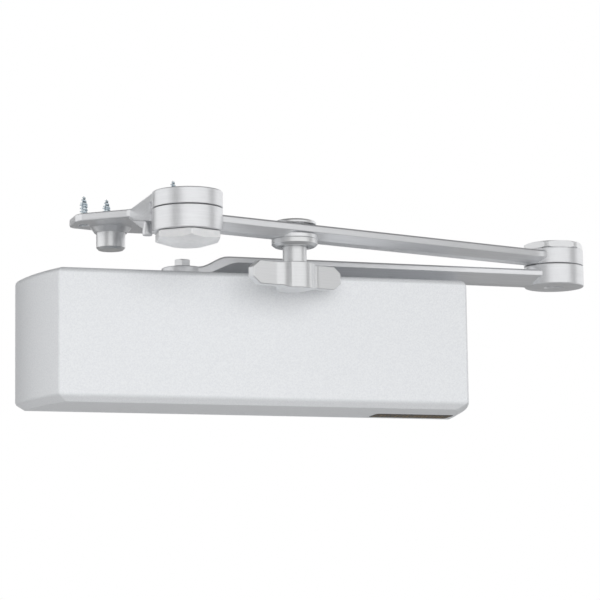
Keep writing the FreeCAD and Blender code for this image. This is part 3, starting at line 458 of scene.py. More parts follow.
def make_cover():
    outer, inner = cover_rings(0.0, TOP_ROUND), cover_rings(WALL, TOP_ROUND - WALL)
    rows, count = len(outer), len(outer[0])
    points = [p for ring in outer + inner for p in ring]
    faces = []
    for shell in (0, rows * count):
        for r in range(rows - 1):
            for k in range(count - 1):
                a = shell + r * count + k
                faces.append((a, a + 1, a + count + 1, a + count))
        faces += [tuple(shell + k for k in range(count)), tuple(shell + (rows - 1) * count + k for k in range(count))]
    left = [r * count for r in range(rows)]
    right = [r * count + count - 1 for r in range(rows)]
    loop = left + right[::-1]
    for a, b in zip(loop, loop[1:] + loop[:1]):
        faces.append((a, b, b + rows * count, a + rows * count))
    shell = new_piece("cover_shell", points, faces)

    arm_hub = (box("main_arm")[1].z, 16.5)      # the notch clears the arm's hub by 2.5 mm
    notch_r, x, y = arm_hub[1], pinion.x, pinion.y
    turns = [math.pi * k / 24 for k in range(25)]
    notch = [(x + notch_r * math.cos(a), y - notch_r * math.sin(a)) for a in turns]
    notch += [(x - notch_r, 2), (x + notch_r, 2)]
    cutters = [prism("notch", notch, cover_high.z - 8, arm_hub[0])]
    for side in (-1, 1):
        screw_x = side * box("cover_screws")[1].x - side * SCREW_HEAD_R
        cutters.append(turned("hole", [(2.3, cover_high.z - 5), (2.3, cover_high.z + 5)], screw_x, COVER_SCREW_Y))
    return carve(shell, cutters)


SCREW_HEAD_R = 4.2
COVER_SCREW_Y = (box("cover_screws")[0].y + box("cover_screws")[1].y) / 2
cover = fit_out(make_cover(), "closer_body", "painted_cover", "cover")

# %% [markdown]
# ## Arms
# Each arm is a drop forging: a flat bar with eight sides, its lower edges sloped so that it
# leaves the die, between two round hubs. The bar is lofted from rounded sections, the
# hubs are turned, and a Boolean joins them. Near a hub the bar spreads a little, as a
# forging does, which gives the corner between them its soft line.

# %% Bar sections
BAR_EDGE = 0.7


def bar_ring(s, half, low, crease, edge, top, low_half, top_half):
    """Rounded eight-sided section at distance s along the arm."""
    corners = [(-half, crease), (-half, edge), (-top_half, top), (top_half, top),
               (half, edge), (half, crease), (low_half, low), (-low_half, low)]
    outline = rounded([(*corner, BAR_EDGE) for corner in corners], steps=3)
    return [(s, y, z) for y, z in outline]


def between(a, b, t):
    """Section part of the way from one to another."""
    return {key: a[key] + (b[key] - a[key]) * t for key in a}


def ease(t):
    t = min(max(t, 0.0), 1.0)
    return t * t * (3 - 2 * t)


# %% Main arm
arm_low, arm_high = box("main_arm")
HUB_R = 14.0
HUB_TOP = 50.5
ELBOW_R = 20.7
ELBOW_LOW = arm_low.z + 9.0
MAIN_BAR = dict(half=13.5, low=48.0, crease=53.9, edge=57.0, top=58.0, low_half=5.5, top_half=12.3)
FLANGE = dict(half=12.0, low=44.6, crease=45.5, edge=49.6, top=50.5, low_half=11.0, top_half=11.0)
SPINDLE = 6.02
SPREAD_AT = 26.0           # where the bar begins to spread before the elbow's hub
HUB_SPREAD = 0.8


def widened(section, by):
    """The same section, each half width larger."""
    return {key: size + by if "half" in key else size for key, size in section.items()}


def make_main_arm():
    rings = []
    for s in (0, 6, 8, 11, 14, 17, 20, 23, 26, 29, 32, 35, 38, main_length - SPREAD_AT):
        low = between(FLANGE, MAIN_BAR, ease((s - 10) / 26))
        rise = between(FLANGE, MAIN_BAR, ease((s - 8) / 20))
        low["edge"], low["top"] = rise["edge"], rise["top"]
        rings.append(bar_ring(s, **low))
    for k in range(1, 7):
        s = main_length - SPREAD_AT + k * 1.6
        rings.append(bar_ring(s, **widened(MAIN_BAR, HUB_SPREAD * (k / 6) ** 2)))
    rings.append(bar_ring(main_length, **widened(MAIN_BAR, HUB_SPREAD)))
    arm = loft("main_arm_forging", rings)
    hub = turned("hub", rounded([(0.5, arm_low.z), (HUB_R, arm_low.z, 0.8), (HUB_R, HUB_TOP, 0.8), (0.5, HUB_TOP)],
                                closed=False))
    knuckle = rounded([(0.5, ELBOW_LOW), (ELBOW_R, ELBOW_LOW, 1.1), (ELBOW_R, arm_high.z, 0.6), (0.5, arm_high.z)],
                      closed=False)
    carve(arm, [hub, turned("knuckle", knuckle, main_length)], "UNION")
    cs, sn = math.cos(-main_turn), math.sin(-main_turn)
    square = [(x * cs - y * sn, x * sn + y * cs) for x, y in
              ((-SPINDLE, -SPINDLE), (SPINDLE, -SPINDLE), (SPINDLE, SPINDLE), (-SPINDLE, SPINDLE))]
    eye = [(7.2, ELBOW_LOW - 1), (7.2, ELBOW_LOW), (6.25, ELBOW_LOW + 0.9), (6.25, arm_high.z + 1)]
    carve(arm, [prism("square", square, arm_low.z - 1, HUB_TOP + 1), turned("eye", eye, main_length)])
    return place(arm, main_turn, pinion.x, pinion.y)


fit_out(make_main_arm(), "main_arm", "painted_arm", "main_arm")

# %% Forearm
fore_low, fore_high = box("forearm")
SHOE_HUB_R = 22.7
FORE_HUB_LOW = arm_high.z + 0.4
FORE_HUB_TOP = 73.45
FORE_BAR = dict(half=13.0, low=62.4, crease=66.35, edge=70.2, top=71.4, low_half=5.5, top_half=11.5)
FORE_TAPER = 1.0
STEM_BORE = 10.45
PAD_R = 15.0
PAD = 2.8
SHOE_BORE = 12.55
ELBOW_BORE = 11.55


def make_forearm():
    rings = []
    stations = [0, 60, 150, 240, fore_length - SPREAD_AT]
    stations += [fore_length - SPREAD_AT + k * 1.2 for k in range(1, 7)] + [fore_length]
    for s in stations:
        near_hub = min(max((s - fore_length + SPREAD_AT) / 7.2, 0.0), 1.0)
        wide = FORE_TAPER * (1 - 2 * s / fore_length) + HUB_SPREAD * near_hub ** 2
        rings.append(bar_ring(s, **widened(FORE_BAR, wide)))
    arm = loft("forearm_forging", rings)
    low, top = fore_low.z, fore_high.z
    big = rounded([(0.5, low), (SHOE_HUB_R, low, 0.7), (SHOE_HUB_R, top, 0.6), (0.5, top)], closed=False)
    small = rounded([(0.5, FORE_HUB_LOW), (ELBOW_R, FORE_HUB_LOW, 0.6), (ELBOW_R, FORE_HUB_TOP, 0.6),
                     (0.5, FORE_HUB_TOP)], closed=False)
    pad_low = FORE_BAR["low"] - 0.02
    pad = rounded([(0.5, pad_low), (PAD_R, pad_low, 0.4), (PAD_R, pad_low + PAD, 0.4), (0.5, pad_low + PAD)],
                  closed=False)
    carve(arm, [turned("big", big), turned("small", small, fore_length), turned("pad", pad, HANDLE_AT)], "UNION")
    bores = {0.0: SHOE_BORE, HANDLE_AT: STEM_BORE, fore_length: ELBOW_BORE}
    carve(arm, [turned("bore", [(r, low - 5), (r, top + 5)], s) for s, r in bores.items()])
    return place(arm, fore_turn, shoe.x, shoe.y)


HANDLE_AT = math.hypot(handle.x - shoe.x, handle.y - shoe.y)
fit_out(make_forearm(), "forearm", "painted_arm", "forearm")

# %% [markdown]
# ## Elbow bolt, arm screw and washer
# The elbow turns on a shoulder bolt whose cap is a domed hexagon. A hexagon prism and a
# turned lens overlap exactly in that shape, so the Boolean keeps what they share. The arm is
# held down on the pinion's square by a small hexagon screw over a washer, made likewise.

# %% Elbow bolt
cap_low, cap_high = box("elbow_bolt")
CAP_R = 21.8
CAP_TURN = -4.4
CAP_WALL_TOP = cap_high.z - 1.8
JOURNAL_R = 9.0
BOLT_END_R = 6.1


def make_elbow_bolt():
    flat = CAP_R * math.cos(math.radians(30))
    crown = [(flat + 1.9, FORE_HUB_TOP + 0.7), (flat + 1.9, CAP_WALL_TOP - 0.9)]
    lens = [(1.2, FORE_HUB_TOP + 0.15), (flat + 1.2, FORE_HUB_TOP + 0.15)] + crown
    for k in range(9):
        t = 1 - k / 8
        lens.append((max(flat * t, 0.4), CAP_WALL_TOP + 1.8 * (1 - t * t)))
    lens = turned("elbow_shoulder_bolt", lens)
    carve(lens, [prism("hex", hexagon(CAP_R, CAP_TURN, corner=0.9), FORE_HUB_TOP, cap_high.z + 2)], "INTERSECT")
    end = rounded([(0.5, cap_low.z), (BOLT_END_R, cap_low.z, 0.9), (BOLT_END_R, arm_high.z + 0.2),
                   (JOURNAL_R, arm_high.z + 0.2), (JOURNAL_R, FORE_HUB_TOP + 1), (0.5, FORE_HUB_TOP + 1)], closed=False)
    carve(lens, [turned("bolt", end)], "UNION")
    return place(lens, 0, elbow.x, elbow.y)


fit_out(make_elbow_bolt(), "main_arm", "satin_steel", "elbow_bolt")

# %% Arm screw and washer
washer_low, washer_high = box("arm_washer")
screw_low, screw_high = box("arm_screw")
washer_r = (washer_high.x - washer_low.x) / 2
fit_out(turned("arm_screw_washer",
               rounded([(3.2, washer_low.z), (washer_r, washer_low.z, 0.25), (washer_r, washer_high.z, 0.3),
                        (3.2, washer_high.z)]), pinion.x, pinion.y, hollow=True),
        "main_arm", "satin_steel", "arm_washer")


def make_arm_screw(radius=5.85, turn=15):
    head = turned("arm_screw_hex", [(radius - 0.4, washer_high.z), (radius, washer_high.z + 0.3),
                                    (radius, screw_high.z - 0.9), (radius - 0.9, screw_high.z - 0.1),
                                    (radius - 1.3, screw_high.z), (0.5, screw_high.z)])
    carve(head, [prism("hex", hexagon(radius, turn, corner=0.3), washer_high.z - 1, screw_high.z + 1)], "INTERSECT")
    shank = turned("shank", rounded([(0.5, screw_low.z), (3.0, screw_low.z, 0.5), (3.0, washer_high.z + 0.5),
                                     (0.5, washer_high.z + 0.5)], closed=False), sides=48)
    return place(carve(head, [shank], "UNION"), 0, pinion.x, pinion.y)


fit_out(make_arm_screw(), "main_arm", "satin_steel", "arm_screw")

# %% [markdown]
# ## The thumb-turn
# A bright stem comes down through the forearm with a collar under the arm, a retaining disc
# over it and a wing to turn at its foot. The wing is a flat bar with clipped corners that
# swells into a round boss in the middle. Its plan outline raised, and its side outline pushed
# through it, share exactly that shape; a bevel then rounds the edges as tumbling does.

# %% Wing
wing_low, wing_high = box("handle_wing")
WING_HALF = 34.6
WING_THICK = 3.3
WING_LOW = 31.0
BOSS_R = 12.5
CLIP_X = 5.5
CLIP_Z = 4.3


def make_wing():
    boss_half, joint = BOSS_R * 0.72, BOSS_R * 1.36
    quarter = [(WING_HALF, WING_THICK)]
    blend = 8
    corner = Vector((boss_half, BOSS_R * 0.76))
    start = Vector((joint, WING_THICK))
    middle = Vector((boss_half + (joint - boss_half) * 0.30, WING_THICK + 0.3))
    for k in range(blend + 1):
        t = k / blend
        quarter.append(tuple(start * (1 - t) ** 2 + middle * 2 * t * (1 - t) + corner * t * t))
    reach = math.atan2(corner.y, corner.x)
    arc = [(BOSS_R * math.cos(a), BOSS_R * math.sin(a))
           for a in (reach + (math.pi / 2 - reach) * k / 8 for k in range(1, 9))]
    quarter += arc
    upper = quarter + [(-x, y) for x, y in reversed(quarter[:-1])]
    plan = upper + [(-x, -y) for x, y in upper]
    wing = prism("thumb_turn_wing", plan, wing_low.z, wing_high.z)
    half, clip, top = WING_HALF + 0.01, WING_HALF - CLIP_X, wing_high.z + 0.01
    side = [(-half, top - CLIP_Z, 1.6), (-half, WING_LOW + CLIP_Z, 1.6), (-clip, WING_LOW, 1.6), (-BOSS_R, WING_LOW, 0),
            (-boss_half, wing_low.z + 0.01, 0)]
    side += [(-x, z, r) for x, z, r in reversed(side)]
    side += [(clip, top, 1.6), (-clip, top, 1.6)]
    outline = rounded(side, steps=3)
    through = loft("through", [[(x, y, z) for x, z in outline] for y in (-BOSS_R - 2, BOSS_R + 2)])
    carve(wing, [through], "INTERSECT")
    soften(wing, 0.6, angle=35, segments=3)
    return place(wing, fore_turn, handle.x, handle.y)


fit_out(make_wing(), "hold_open_handle", "satin_steel", "handle_wing")

# %% Stem, collar, retainer and spring washer
stem_low, stem_high = box("handle_stem")
collar_low, collar_high = box("handle_collar")
disc_low, disc_high = box("handle_retainer")
wave_low, wave_high = box("handle_spring_washer")
STEM_R = 7.9
SPIGOT_R = 6.0
collar_r = 15.2
disc_r = 14.3


def make_stem():
    outline = [(0.5, wing_high.z - 0.2), (STEM_R - 0.5, wing_high.z - 0.2), (STEM_R, wing_high.z + 0.4, 0.3),
               (STEM_R, disc_low.z, 0), (SPIGOT_R, disc_low.z, 0), (SPIGOT_R, stem_high.z, 0.6), (0.5, stem_high.z)]
    return place(turned("thumb_turn_stem", rounded(outline, closed=False)), 0, handle.x, handle.y)


def make_collar():
    outline = [(STEM_R + 0.02, collar_high.z), (STEM_R + 0.02, collar_low.z + 0.7), (STEM_R + 0.9, collar_low.z + 0.7),
               (STEM_R + 1.3, collar_low.z, 0.2), (collar_r - 2.0, collar_low.z, 0.4),
               (collar_r, collar_low.z + 1.6, 0.5), (collar_r, collar_high.z, 0.3)]
    return place(turned("stem_collar", rounded(outline), hollow=True), 0, handle.x, handle.y)


def make_retainer():
    outline = [(SPIGOT_R + 0.02, disc_low.z), (disc_r, disc_low.z, 0.4), (disc_r, disc_high.z - 1.2, 0.6),
               (disc_r - 3.0, disc_high.z, 1.5), (SPIGOT_R + 0.4, disc_high.z, 0.2), (SPIGOT_R + 0.02, disc_high.z - 0.4)]
    return place(turned("stem_retainer", rounded(outline), hollow=True), 0, handle.x, handle.y)


def make_wave_washer():
    """Spring washer: a flat ring bent into three gentle waves, touching above and below."""
    inner, outer = STEM_R + 0.2, STEM_R + 3.6
    middle, thick, swing = (wave_low.z + wave_high.z) / 2, 0.3, (wave_high.z - wave_low.z - 0.3) / 2
    rings = []
    sides = 96
    for r, dz in ((inner, -thick / 2), (outer, -thick / 2), (outer, thick / 2), (inner, thick / 2)):
        rings.append([(r * math.cos(a), r * math.sin(a), middle + dz + swing * math.sin(3 * a))
                      for a in (2 * math.pi * k / sides for k in range(sides))])
    return place(loft("stem_wave_washer", rings, hollow=True), 0, handle.x, handle.y)


fit_out(make_stem(), "hold_open_handle", "satin_steel", "handle_stem")
fit_out(make_collar(), "hold_open_handle", "satin_steel", "handle_collar")
fit_out(make_retainer(), "hold_open_handle", "satin_steel", "handle_retainer")
fit_out(make_wave_washer(), "forearm", "satin_steel", "handle_spring_washer")

# %% [markdown]
# ## The shoe
# The shoe screws up into the door frame: a plate that opens from a neck to a wide end, with a
# boss over the forearm's hub, three ribs, a hub for its long screw and the stop post.
# It is cast, so its outer edges are full and round. The plate is raised and bevelled while it
# is still simple, then the bosses and ribs join it and the screw holes are cut last.

# %% Shoe bracket
bracket_low, bracket_high = box("shoe_bracket")
PLATE = 5.5
NECK_HALF = 22.0
NECK_LENGTH = 65.0
WIDE_HALF = 52.6
SHOULDER = 93.5
SIDE_END = 110.0
BACK = 117.0
BACK_BOW = 9.0
RIB = 3.0
NECK_SCREW = (0.0, 36.6)
OUTER_SCREW = (44.6, 102.6)
INNER_SCREW = (27.0, 111.0)
POST_AT = (-24.7, 108.8)
POST_R = 9.8
SIDE_BOSS = (-17.2, 37.0)
SIDE_BOSS_R = 3.6
SIDE_BOSS_LOW = 63.6
SIDE_RIB_END = (-21.0, 67.0)
FOLD_RIB_END = (24.0, 71.0)
SKIRT = 2.5                # web down the neck's outer edge on the side with the boss
SKIRT_START = 13.0
SKIRT_LOW = (69.1, 78.4)
FLARE = 3.6
plate_z = bracket_high.z - PLATE
boss_z = box("shoe_upper_washer")[1].z
nut_low, nut_high = box("shoe_pivot_nut")


def shoe_plan():
    """Plan from the left of the neck, out to the wide end, round the bowed back and home."""
    half = [(-NECK_HALF, 0, 0), (-NECK_HALF, NECK_LENGTH, 6.0), (-WIDE_HALF + 2, SHOULDER - 6, 5.0),
            (-WIDE_HALF, SHOULDER, 4.0), (-WIDE_HALF, SIDE_END, 0)]
    left = rounded(half, closed=False)
    turn = BACK - SIDE_END
    left += [(-WIDE_HALF + turn * (1 - math.cos(a)), SIDE_END + turn * math.sin(a))
             for a in (math.radians(15 * k) for k in range(1, 7))]
    reach = WIDE_HALF - turn
    bow = [(reach * (k / 8 - 1), BACK + BACK_BOW * (1 - (k / 8 - 1) ** 2)) for k in range(1, 8)]
    left += bow
    return left + [(0, BACK + BACK_BOW)] + [(-x, y) for x, y in reversed(left)]


def rib(start, end, low_start, low_end):
    """Upright rib under the plate between two plan points, with a rounded lower edge."""
    a, b = Vector(start), Vector(end)
    across = Vector((a.y - b.y, b.x - a.x)).normalized() * RIB / 2
    rings = []
    for p, low in ((a, low_start), (b, low_end)):
        section = rounded([(-1, plate_z + 1), (-1, low, 0.4), (1, low, 0.4), (1, plate_z + 1)], closed=False)
        rings.append([(p.x + across.x * t, p.y + across.y * t, z) for t, z in section])
    return loft("rib", rings)


def skirt():
    """Web that hangs from the neck's outer edge and tapers from the pivot to the wide end."""
    rings = []
    for y, low in ((SKIRT_START, SKIRT_LOW[0]), (NECK_LENGTH, SKIRT_LOW[1])):
        left, right = -NECK_HALF + 0.02, -NECK_HALF + SKIRT
        section = rounded([(left, plate_z + 1), (left, low, 0.5), (right, low, 0.5), (right, plate_z + 1)], closed=False)
        rings.append([(x, y, z) for x, z in section])
    return loft("skirt", rings)


def screw_way(x, y, head_z):
    """Cutter for a clearance hole with its countersink and the room below the head."""
    outline = [(3.95, bracket_low.z - 2), (3.95, head_z), (2.6, head_z + 2.3), (2.6, bracket_high.z + 1)]
    return turned("way", outline, x, y, sides=48)


def make_bracket():
    plate = soften(prism("shoe_casting", shoe_plan(), plate_z, bracket_high.z), 1.1, angle=50, segments=3)
    boss = rounded([(0.5, boss_z), (SHOE_HUB_R, boss_z, 0.6), (SHOE_HUB_R, bracket_high.z, 0.9), (0.5, bracket_high.z)],
                   closed=False)
    hub = rounded([(0.5, bracket_low.z), (8.0, bracket_low.z, 0.8), (10.0, plate_z - 7, 6.0), (12.5, plate_z + 1),
                   (0.5, plate_z + 1)], closed=False)
    flare = rounded([(0.5, plate_z - FLARE), (POST_R + 1.2, plate_z - FLARE, 0.4), (13.6, plate_z - 0.2, 1.5),
                     (15.5, plate_z + 1), (0.5, plate_z + 1)], closed=False)
    small = rounded([(0.5, SIDE_BOSS_LOW), (SIDE_BOSS_R - 0.6, SIDE_BOSS_LOW, 0.5), (SIDE_BOSS_R, SIDE_BOSS_LOW + 2),
                     (SIDE_BOSS_R - 1.6, plate_z - 7), (SIDE_BOSS_R - 1.6, plate_z + 1), (0.5, plate_z + 1)], closed=False)
    centre = NECK_SCREW
    parts = [turned("boss", boss), turned("hub", hub, *centre), turned("flare", flare, *POST_AT),
             rib(centre, (0, BACK + BACK_BOW - 8), bracket_low.z + 3, plate_z - 1)]
    parts += [turned("small", small, *SIDE_BOSS, sides=48), skirt(),
              rib(SIDE_BOSS, SIDE_RIB_END, SIDE_BOSS_LOW + 3, plate_z - 1),
              rib(centre, FOLD_RIB_END, bracket_low.z + 3, plate_z - 1)]
    carve(plate, parts, "UNION")
    flush = plate_z + 0.6
    outer_x, outer_y = OUTER_SCREW
    cuts = [screw_way(-outer_x, outer_y, flush), screw_way(outer_x, outer_y, flush),
            screw_way(*INNER_SCREW, flush), screw_way(*centre, bracket_low.z + 0.6),
            turned("pivot", [(10.02, boss_z - 1), (10.02, bracket_high.z - 4.2), (14.02, bracket_high.z - 4.2),
                             (14.02, bracket_high.z + 1)]),
            turned("seat", [(POST_R + 0.02, plate_z - FLARE - 1), (POST_R + 0.02, plate_z)], *POST_AT),
            turned("post_screw", [(2.6, plate_z - 1), (2.6, bracket_high.z + 1)], -INNER_SCREW[0], INNER_SCREW[1], sides=48)]
    carve(plate, cuts)
    return place(plate, 0, shoe.x, shoe.y)


fit_out(make_bracket(), "frame_shoe", "painted_arm", "shoe_bracket")

# %% Pivot nut, stud and stop post
NUT_R = 22.7
NUT_FACE = 11.5
NUT_CONE = 3.6
NUT_TURN = 21.9


def make_nut():
    low, high = nut_low.z, nut_high.z
    outline = [(0.5, low + 0.5), (NUT_FACE - 0.6, low + 0.5, 0.3), (NUT_FACE, low, 0.5), (NUT_R - 0.3, low + NUT_CONE, 1.2),
               (NUT_R, high - 0.9, 0.4), (NUT_R - 0.8, high), (0.5, high)]
    nut = turned("pivot_cap_nut", rounded(outline, closed=False))
    carve(nut, [prism("hex", hexagon(NUT_R, NUT_TURN, corner=1.2), low - 1, high + 1)], "INTERSECT")
    carve(nut, [turned("thread", [(10.05, low + NUT_CONE), (10.05, high + 1)])])
    return place(nut, 0, shoe.x, shoe.y)


def make_stud():
    low, high = box("shoe_pivot_stud")
    outline = [(0.5, low.z), (10.0, low.z, 0.5), (10.0, high.z - 4.2), (14.0, high.z - 4.2, 0.2), (14.0, high.z, 0.8),
               (0.5, high.z)]
    return place(turned("pivot_stud", rounded(outline, closed=False)), 0, shoe.x, shoe.y)


def make_post():
    low = box("stop_post")[0].z
    outline = [(0.5, low), (POST_R - 1.5, low, 0.4), (POST_R, low + 1.5, 0.8), (POST_R, plate_z), (0.5, plate_z)]
    post = turned("door_stop_post", rounded(outline, closed=False))
    screw_x, screw_y = -INNER_SCREW[0] - POST_AT[0], INNER_SCREW[1] - POST_AT[1]
    carve(post, [turned("blind", [(2.22, low + 4.0), (2.22, plate_z + 1)], screw_x, screw_y, sides=48)])
    return place(post, 0, shoe.x + POST_AT[0], shoe.y + POST_AT[1])


fit_out(make_nut(), "frame_shoe", "satin_steel", "shoe_pivot_nut", material=plated)
fit_out(make_stud(), "frame_shoe", "satin_steel", "shoe_pivot_stud")
fit_out(make_post(), "frame_shoe", "satin_steel", "stop_post")

# %% [markdown]
# ## Wood screws
# A wood screw is a tapering core with one thread wound round it, and five of them go up into
# the frame. That is a rule, so Geometry Nodes make it: a spiral curve carries a small
# rectangular section for the thread, a narrowing spiral carries on over the point, and the
# finished screw is placed on a point for each hole. Sizes are inputs of the tree.

# %% Screw tree
def geometry_tree(name, sizes):
    """An empty tree with a geometry input, named sizes and a geometry output."""
    tree = bpy.data.node_groups.new(name, "GeometryNodeTree")
    tree.interface.new_socket("Geometry", in_out="INPUT", socket_type="NodeSocketGeometry")
    for label, value in sizes.items():
        made = tree.interface.new_socket(label, in_out="INPUT", socket_type="NodeSocketFloat")
        made.default_value = value
    tree.interface.new_socket("Geometry", in_out="OUTPUT", socket_type="NodeSocketGeometry")
    start = add(tree, "NodeGroupInput")
    return tree, start.outputs


def maths(tree, operation, first, second):
    return add(tree, "ShaderNodeMath", {0: first, 1: second}, operation=operation).outputs[0]


def raised(tree, shape, height):
    """Lift a shape along Z by a size."""
    offset = add(tree, "ShaderNodeCombineXYZ", {"Z": height}).outputs[0]
    return add(tree, "GeometryNodeTransform", {"Geometry": shape, "Translation": offset}).outputs[0]


def screw_tree():
    tree, size = geometry_tree("threaded_screw", {
        "Core Radius": 0.0016, "Thread Radius": 0.0026, "Pitch": 0.0022, "Thread Length": 0.0085,
        "Point Length": 0.006, "Shank Radius": 0.0022, "Shank Length": 0.003,
        "Head Radius": 0.0039, "Head Height": 0.0023})

    def wound(start, end, height):
        """Thread along a spiral from one radius to another."""
        turns = maths(tree, "DIVIDE", height, size["Pitch"])
        spiral = add(tree, "GeometryNodeCurveSpiral", {
            "Resolution": 28, "Rotations": turns, "Start Radius": start, "End Radius": end, "Height": height})
        upright = add(tree, "GeometryNodeSetCurveNormal", {"Curve": spiral.outputs[0]}, mode="Z_UP")
        deep = maths(tree, "MULTIPLY", maths(tree, "SUBTRACT", size["Thread Radius"], size["Core Radius"]), 2.0)
        section = add(tree, "GeometryNodeCurvePrimitiveQuadrilateral", {
            "Width": deep, "Height": maths(tree, "MULTIPLY", size["Pitch"], 0.42)}, mode="RECTANGLE")
        turned_section = add(tree, "GeometryNodeTransform", {
            "Geometry": section.outputs[0], "Rotation": (0, 0, 0)})
        return add(tree, "GeometryNodeCurveToMesh", {
            "Curve": upright.outputs[0], "Profile Curve": turned_section.outputs[0], "Fill Caps": True}).outputs[0]

    def rod(top_radius, bottom_radius, depth):
        return add(tree, "GeometryNodeMeshCone", {
            "Vertices": 24, "Radius Top": top_radius, "Radius Bottom": bottom_radius, "Depth": depth}).outputs[0]

    head = rod(size["Shank Radius"], size["Head Radius"], size["Head Height"])
    shank_at = size["Head Height"]
    shank = raised(tree, rod(size["Shank Radius"], size["Shank Radius"], size["Shank Length"]), shank_at)
    thread_at = maths(tree, "ADD", shank_at, size["Shank Length"])
    core = raised(tree, rod(size["Core Radius"], size["Core Radius"], size["Thread Length"]), thread_at)
    thread = raised(tree, wound(size["Core Radius"], size["Core Radius"], size["Thread Length"]), thread_at)
    point_at = maths(tree, "ADD", thread_at, size["Thread Length"])
    point = raised(tree, rod(0.0001, size["Core Radius"], size["Point Length"]), point_at)
    taper = raised(tree, wound(size["Core Radius"], 0.0, maths(tree, "MULTIPLY", size["Point Length"], 0.85)), point_at)
    joined = add(tree, "GeometryNodeJoinGeometry")
    for shape in (head, shank, core, thread, point, taper):
        tree.links.new(shape, joined.inputs[0])
    placed = add(tree, "GeometryNodeInstanceOnPoints", {"Points": size["Geometry"], "Instance": joined.outputs[0]})
    real = add(tree, "GeometryNodeRealizeInstances", {"Geometry": placed.outputs[0]})
    coated = add(tree, "GeometryNodeSetMaterial", {"Geometry": real.outputs[0], "Material": zinc})
    add(tree, "NodeGroupOutput", {"Geometry": coated.outputs[0]})
    return tree


def grown(name, tree, points, **sizes):
    """Run a tree on loose points in millimetres, with its sizes, and keep the plain mesh."""
    mesh = bpy.data.meshes.new(name)
    mesh.from_pydata([Vector(p) * MM for p in points], [], [])
    made = bpy.data.objects.new(name, mesh)
    bpy.context.scene.collection.objects.link(made)
    modifier = made.modifiers.new("grow", "NODES")
    modifier.node_group = tree
    for item in tree.interface.items_tree:
        key = item.name.lower().replace(" ", "_")
        if item.in_out == "INPUT" and key in sizes:
            modifier[item.identifier] = sizes[key] * MM
    return bake(made)


# %% Screws in the shoe and in the cover
THREAD_OUT = 14.5          # a screw's length beyond the plate
POINT = 6.0
SHANK_OUT = 0.5
HEAD = 2.3
screws = screw_tree()


def wood_screws(name, node, spots, head_z, **sizes):
    shank = bracket_high.z + SHANK_OUT - head_z - HEAD
    made = grown(name, screws, [(shoe.x + x, shoe.y + y, head_z) for x, y in spots],
                 shank_length=shank, thread_length=THREAD_OUT - POINT - SHANK_OUT, **sizes)
    return fit_out(made, "frame_shoe", "zinc_screw", *node)


wood_screws("frame_screws_short", ["shoe_screws"], [(-OUTER_SCREW[0], OUTER_SCREW[1]), OUTER_SCREW, INNER_SCREW],
            plate_z + 0.6)
wood_screws("frame_screw_long", ["shoe_long_screws"], [NECK_SCREW], bracket_low.z + 0.6)
wood_screws("post_hanger_screw", [], [(-INNER_SCREW[0], INNER_SCREW[1])], box("stop_post")[0].z + 4.0,
            head_radius=2.2, head_height=2.3)


def make_cover_screws():
    low, high = box("cover_screws")
    made = None
    for side in (-1, 1):
        x = side * (high.x - SCREW_HEAD_R)
        outline = rounded([(0.5, low.z), (2.0, low.z, 0.4), (2.0, cover_high.z), (SCREW_HEAD_R, cover_high.z + 0.02, 0.2),
                           (SCREW_HEAD_R, cover_high.z + 0.9, 0.5), (SCREW_HEAD_R - 1.6, high.z, 1.0), (0.5, high.z)],
                          closed=False)
        screw = turned("cover_pan_screws", outline, x, COVER_SCREW_Y, sides=48)
        slots = []
        for a, b in ((2.4, 0.5), (0.5, 2.4)):
            cross = [(x - a, COVER_SCREW_Y - b), (x + a, COVER_SCREW_Y - b), (x + a, COVER_SCREW_Y + b),
                     (x - a, COVER_SCREW_Y + b)]
            slots.append(prism("slot", cross, high.z - 1.2, high.z + 1))
        carve(screw, slots)
        made = screw if made is None else carve(made, [screw], "UNION")
    return made


fit_out(make_cover_screws(), "closer_body", "zinc_screw", "cover_screws")

# %% [markdown]
# ## The strip under the cover
# A black film strip with gold marks sits under the right-hand end of the cover. The marks are
# plain: a border and a row of bars, which say nothing. The bars repeat, so a tree sets them
# out along a line, with lengths from a seeded random value so that they are the same each run.

# %% Strip with gold bars
strip_low, strip_high = box("cover_label")
BARS = 17
PRINT = 0.03


def make_strip():
    x0, x1, y0, y1 = strip_low.x, strip_high.x, strip_low.y, strip_high.y
    corners = [(x0, y0, 1.5), (x1, y0, 1.5), (x1, y1, 1.5), (x0, y1, 1.5)]
    return prism("label_strip", rounded(corners), strip_low.z, strip_high.z)


def bar_tree():
    tree, size = geometry_tree("gold_bars", {"Width": 0.0011, "Shortest": 0.003, "Longest": 0.008, "Thick": 0.00003})
    bar = add(tree, "GeometryNodeMeshCube", {
        "Size": add(tree, "ShaderNodeCombineXYZ", {"X": size["Width"], "Y": 1.0, "Z": size["Thick"]}).outputs[0]})
    length = add(tree, "FunctionNodeRandomValue", {"Min": size["Shortest"], "Max": size["Longest"], "Seed": 7},
                 data_type="FLOAT")
    tree.links.new(size["Shortest"], length.inputs[2])
    tree.links.new(size["Longest"], length.inputs[3])
    scale = add(tree, "ShaderNodeCombineXYZ", {"X": 1.0, "Y": length.outputs[1], "Z": 1.0}).outputs[0]
    placed = add(tree, "GeometryNodeInstanceOnPoints", {
        "Points": size["Geometry"], "Instance": bar.outputs[0], "Scale": scale})
    real = add(tree, "GeometryNodeRealizeInstances", {"Geometry": placed.outputs[0]})
    coated = add(tree, "GeometryNodeSetMaterial", {"Geometry": real.outputs[0], "Material": gold_ink})
    add(tree, "NodeGroupOutput", {"Geometry": coated.outputs[0]})
    return tree


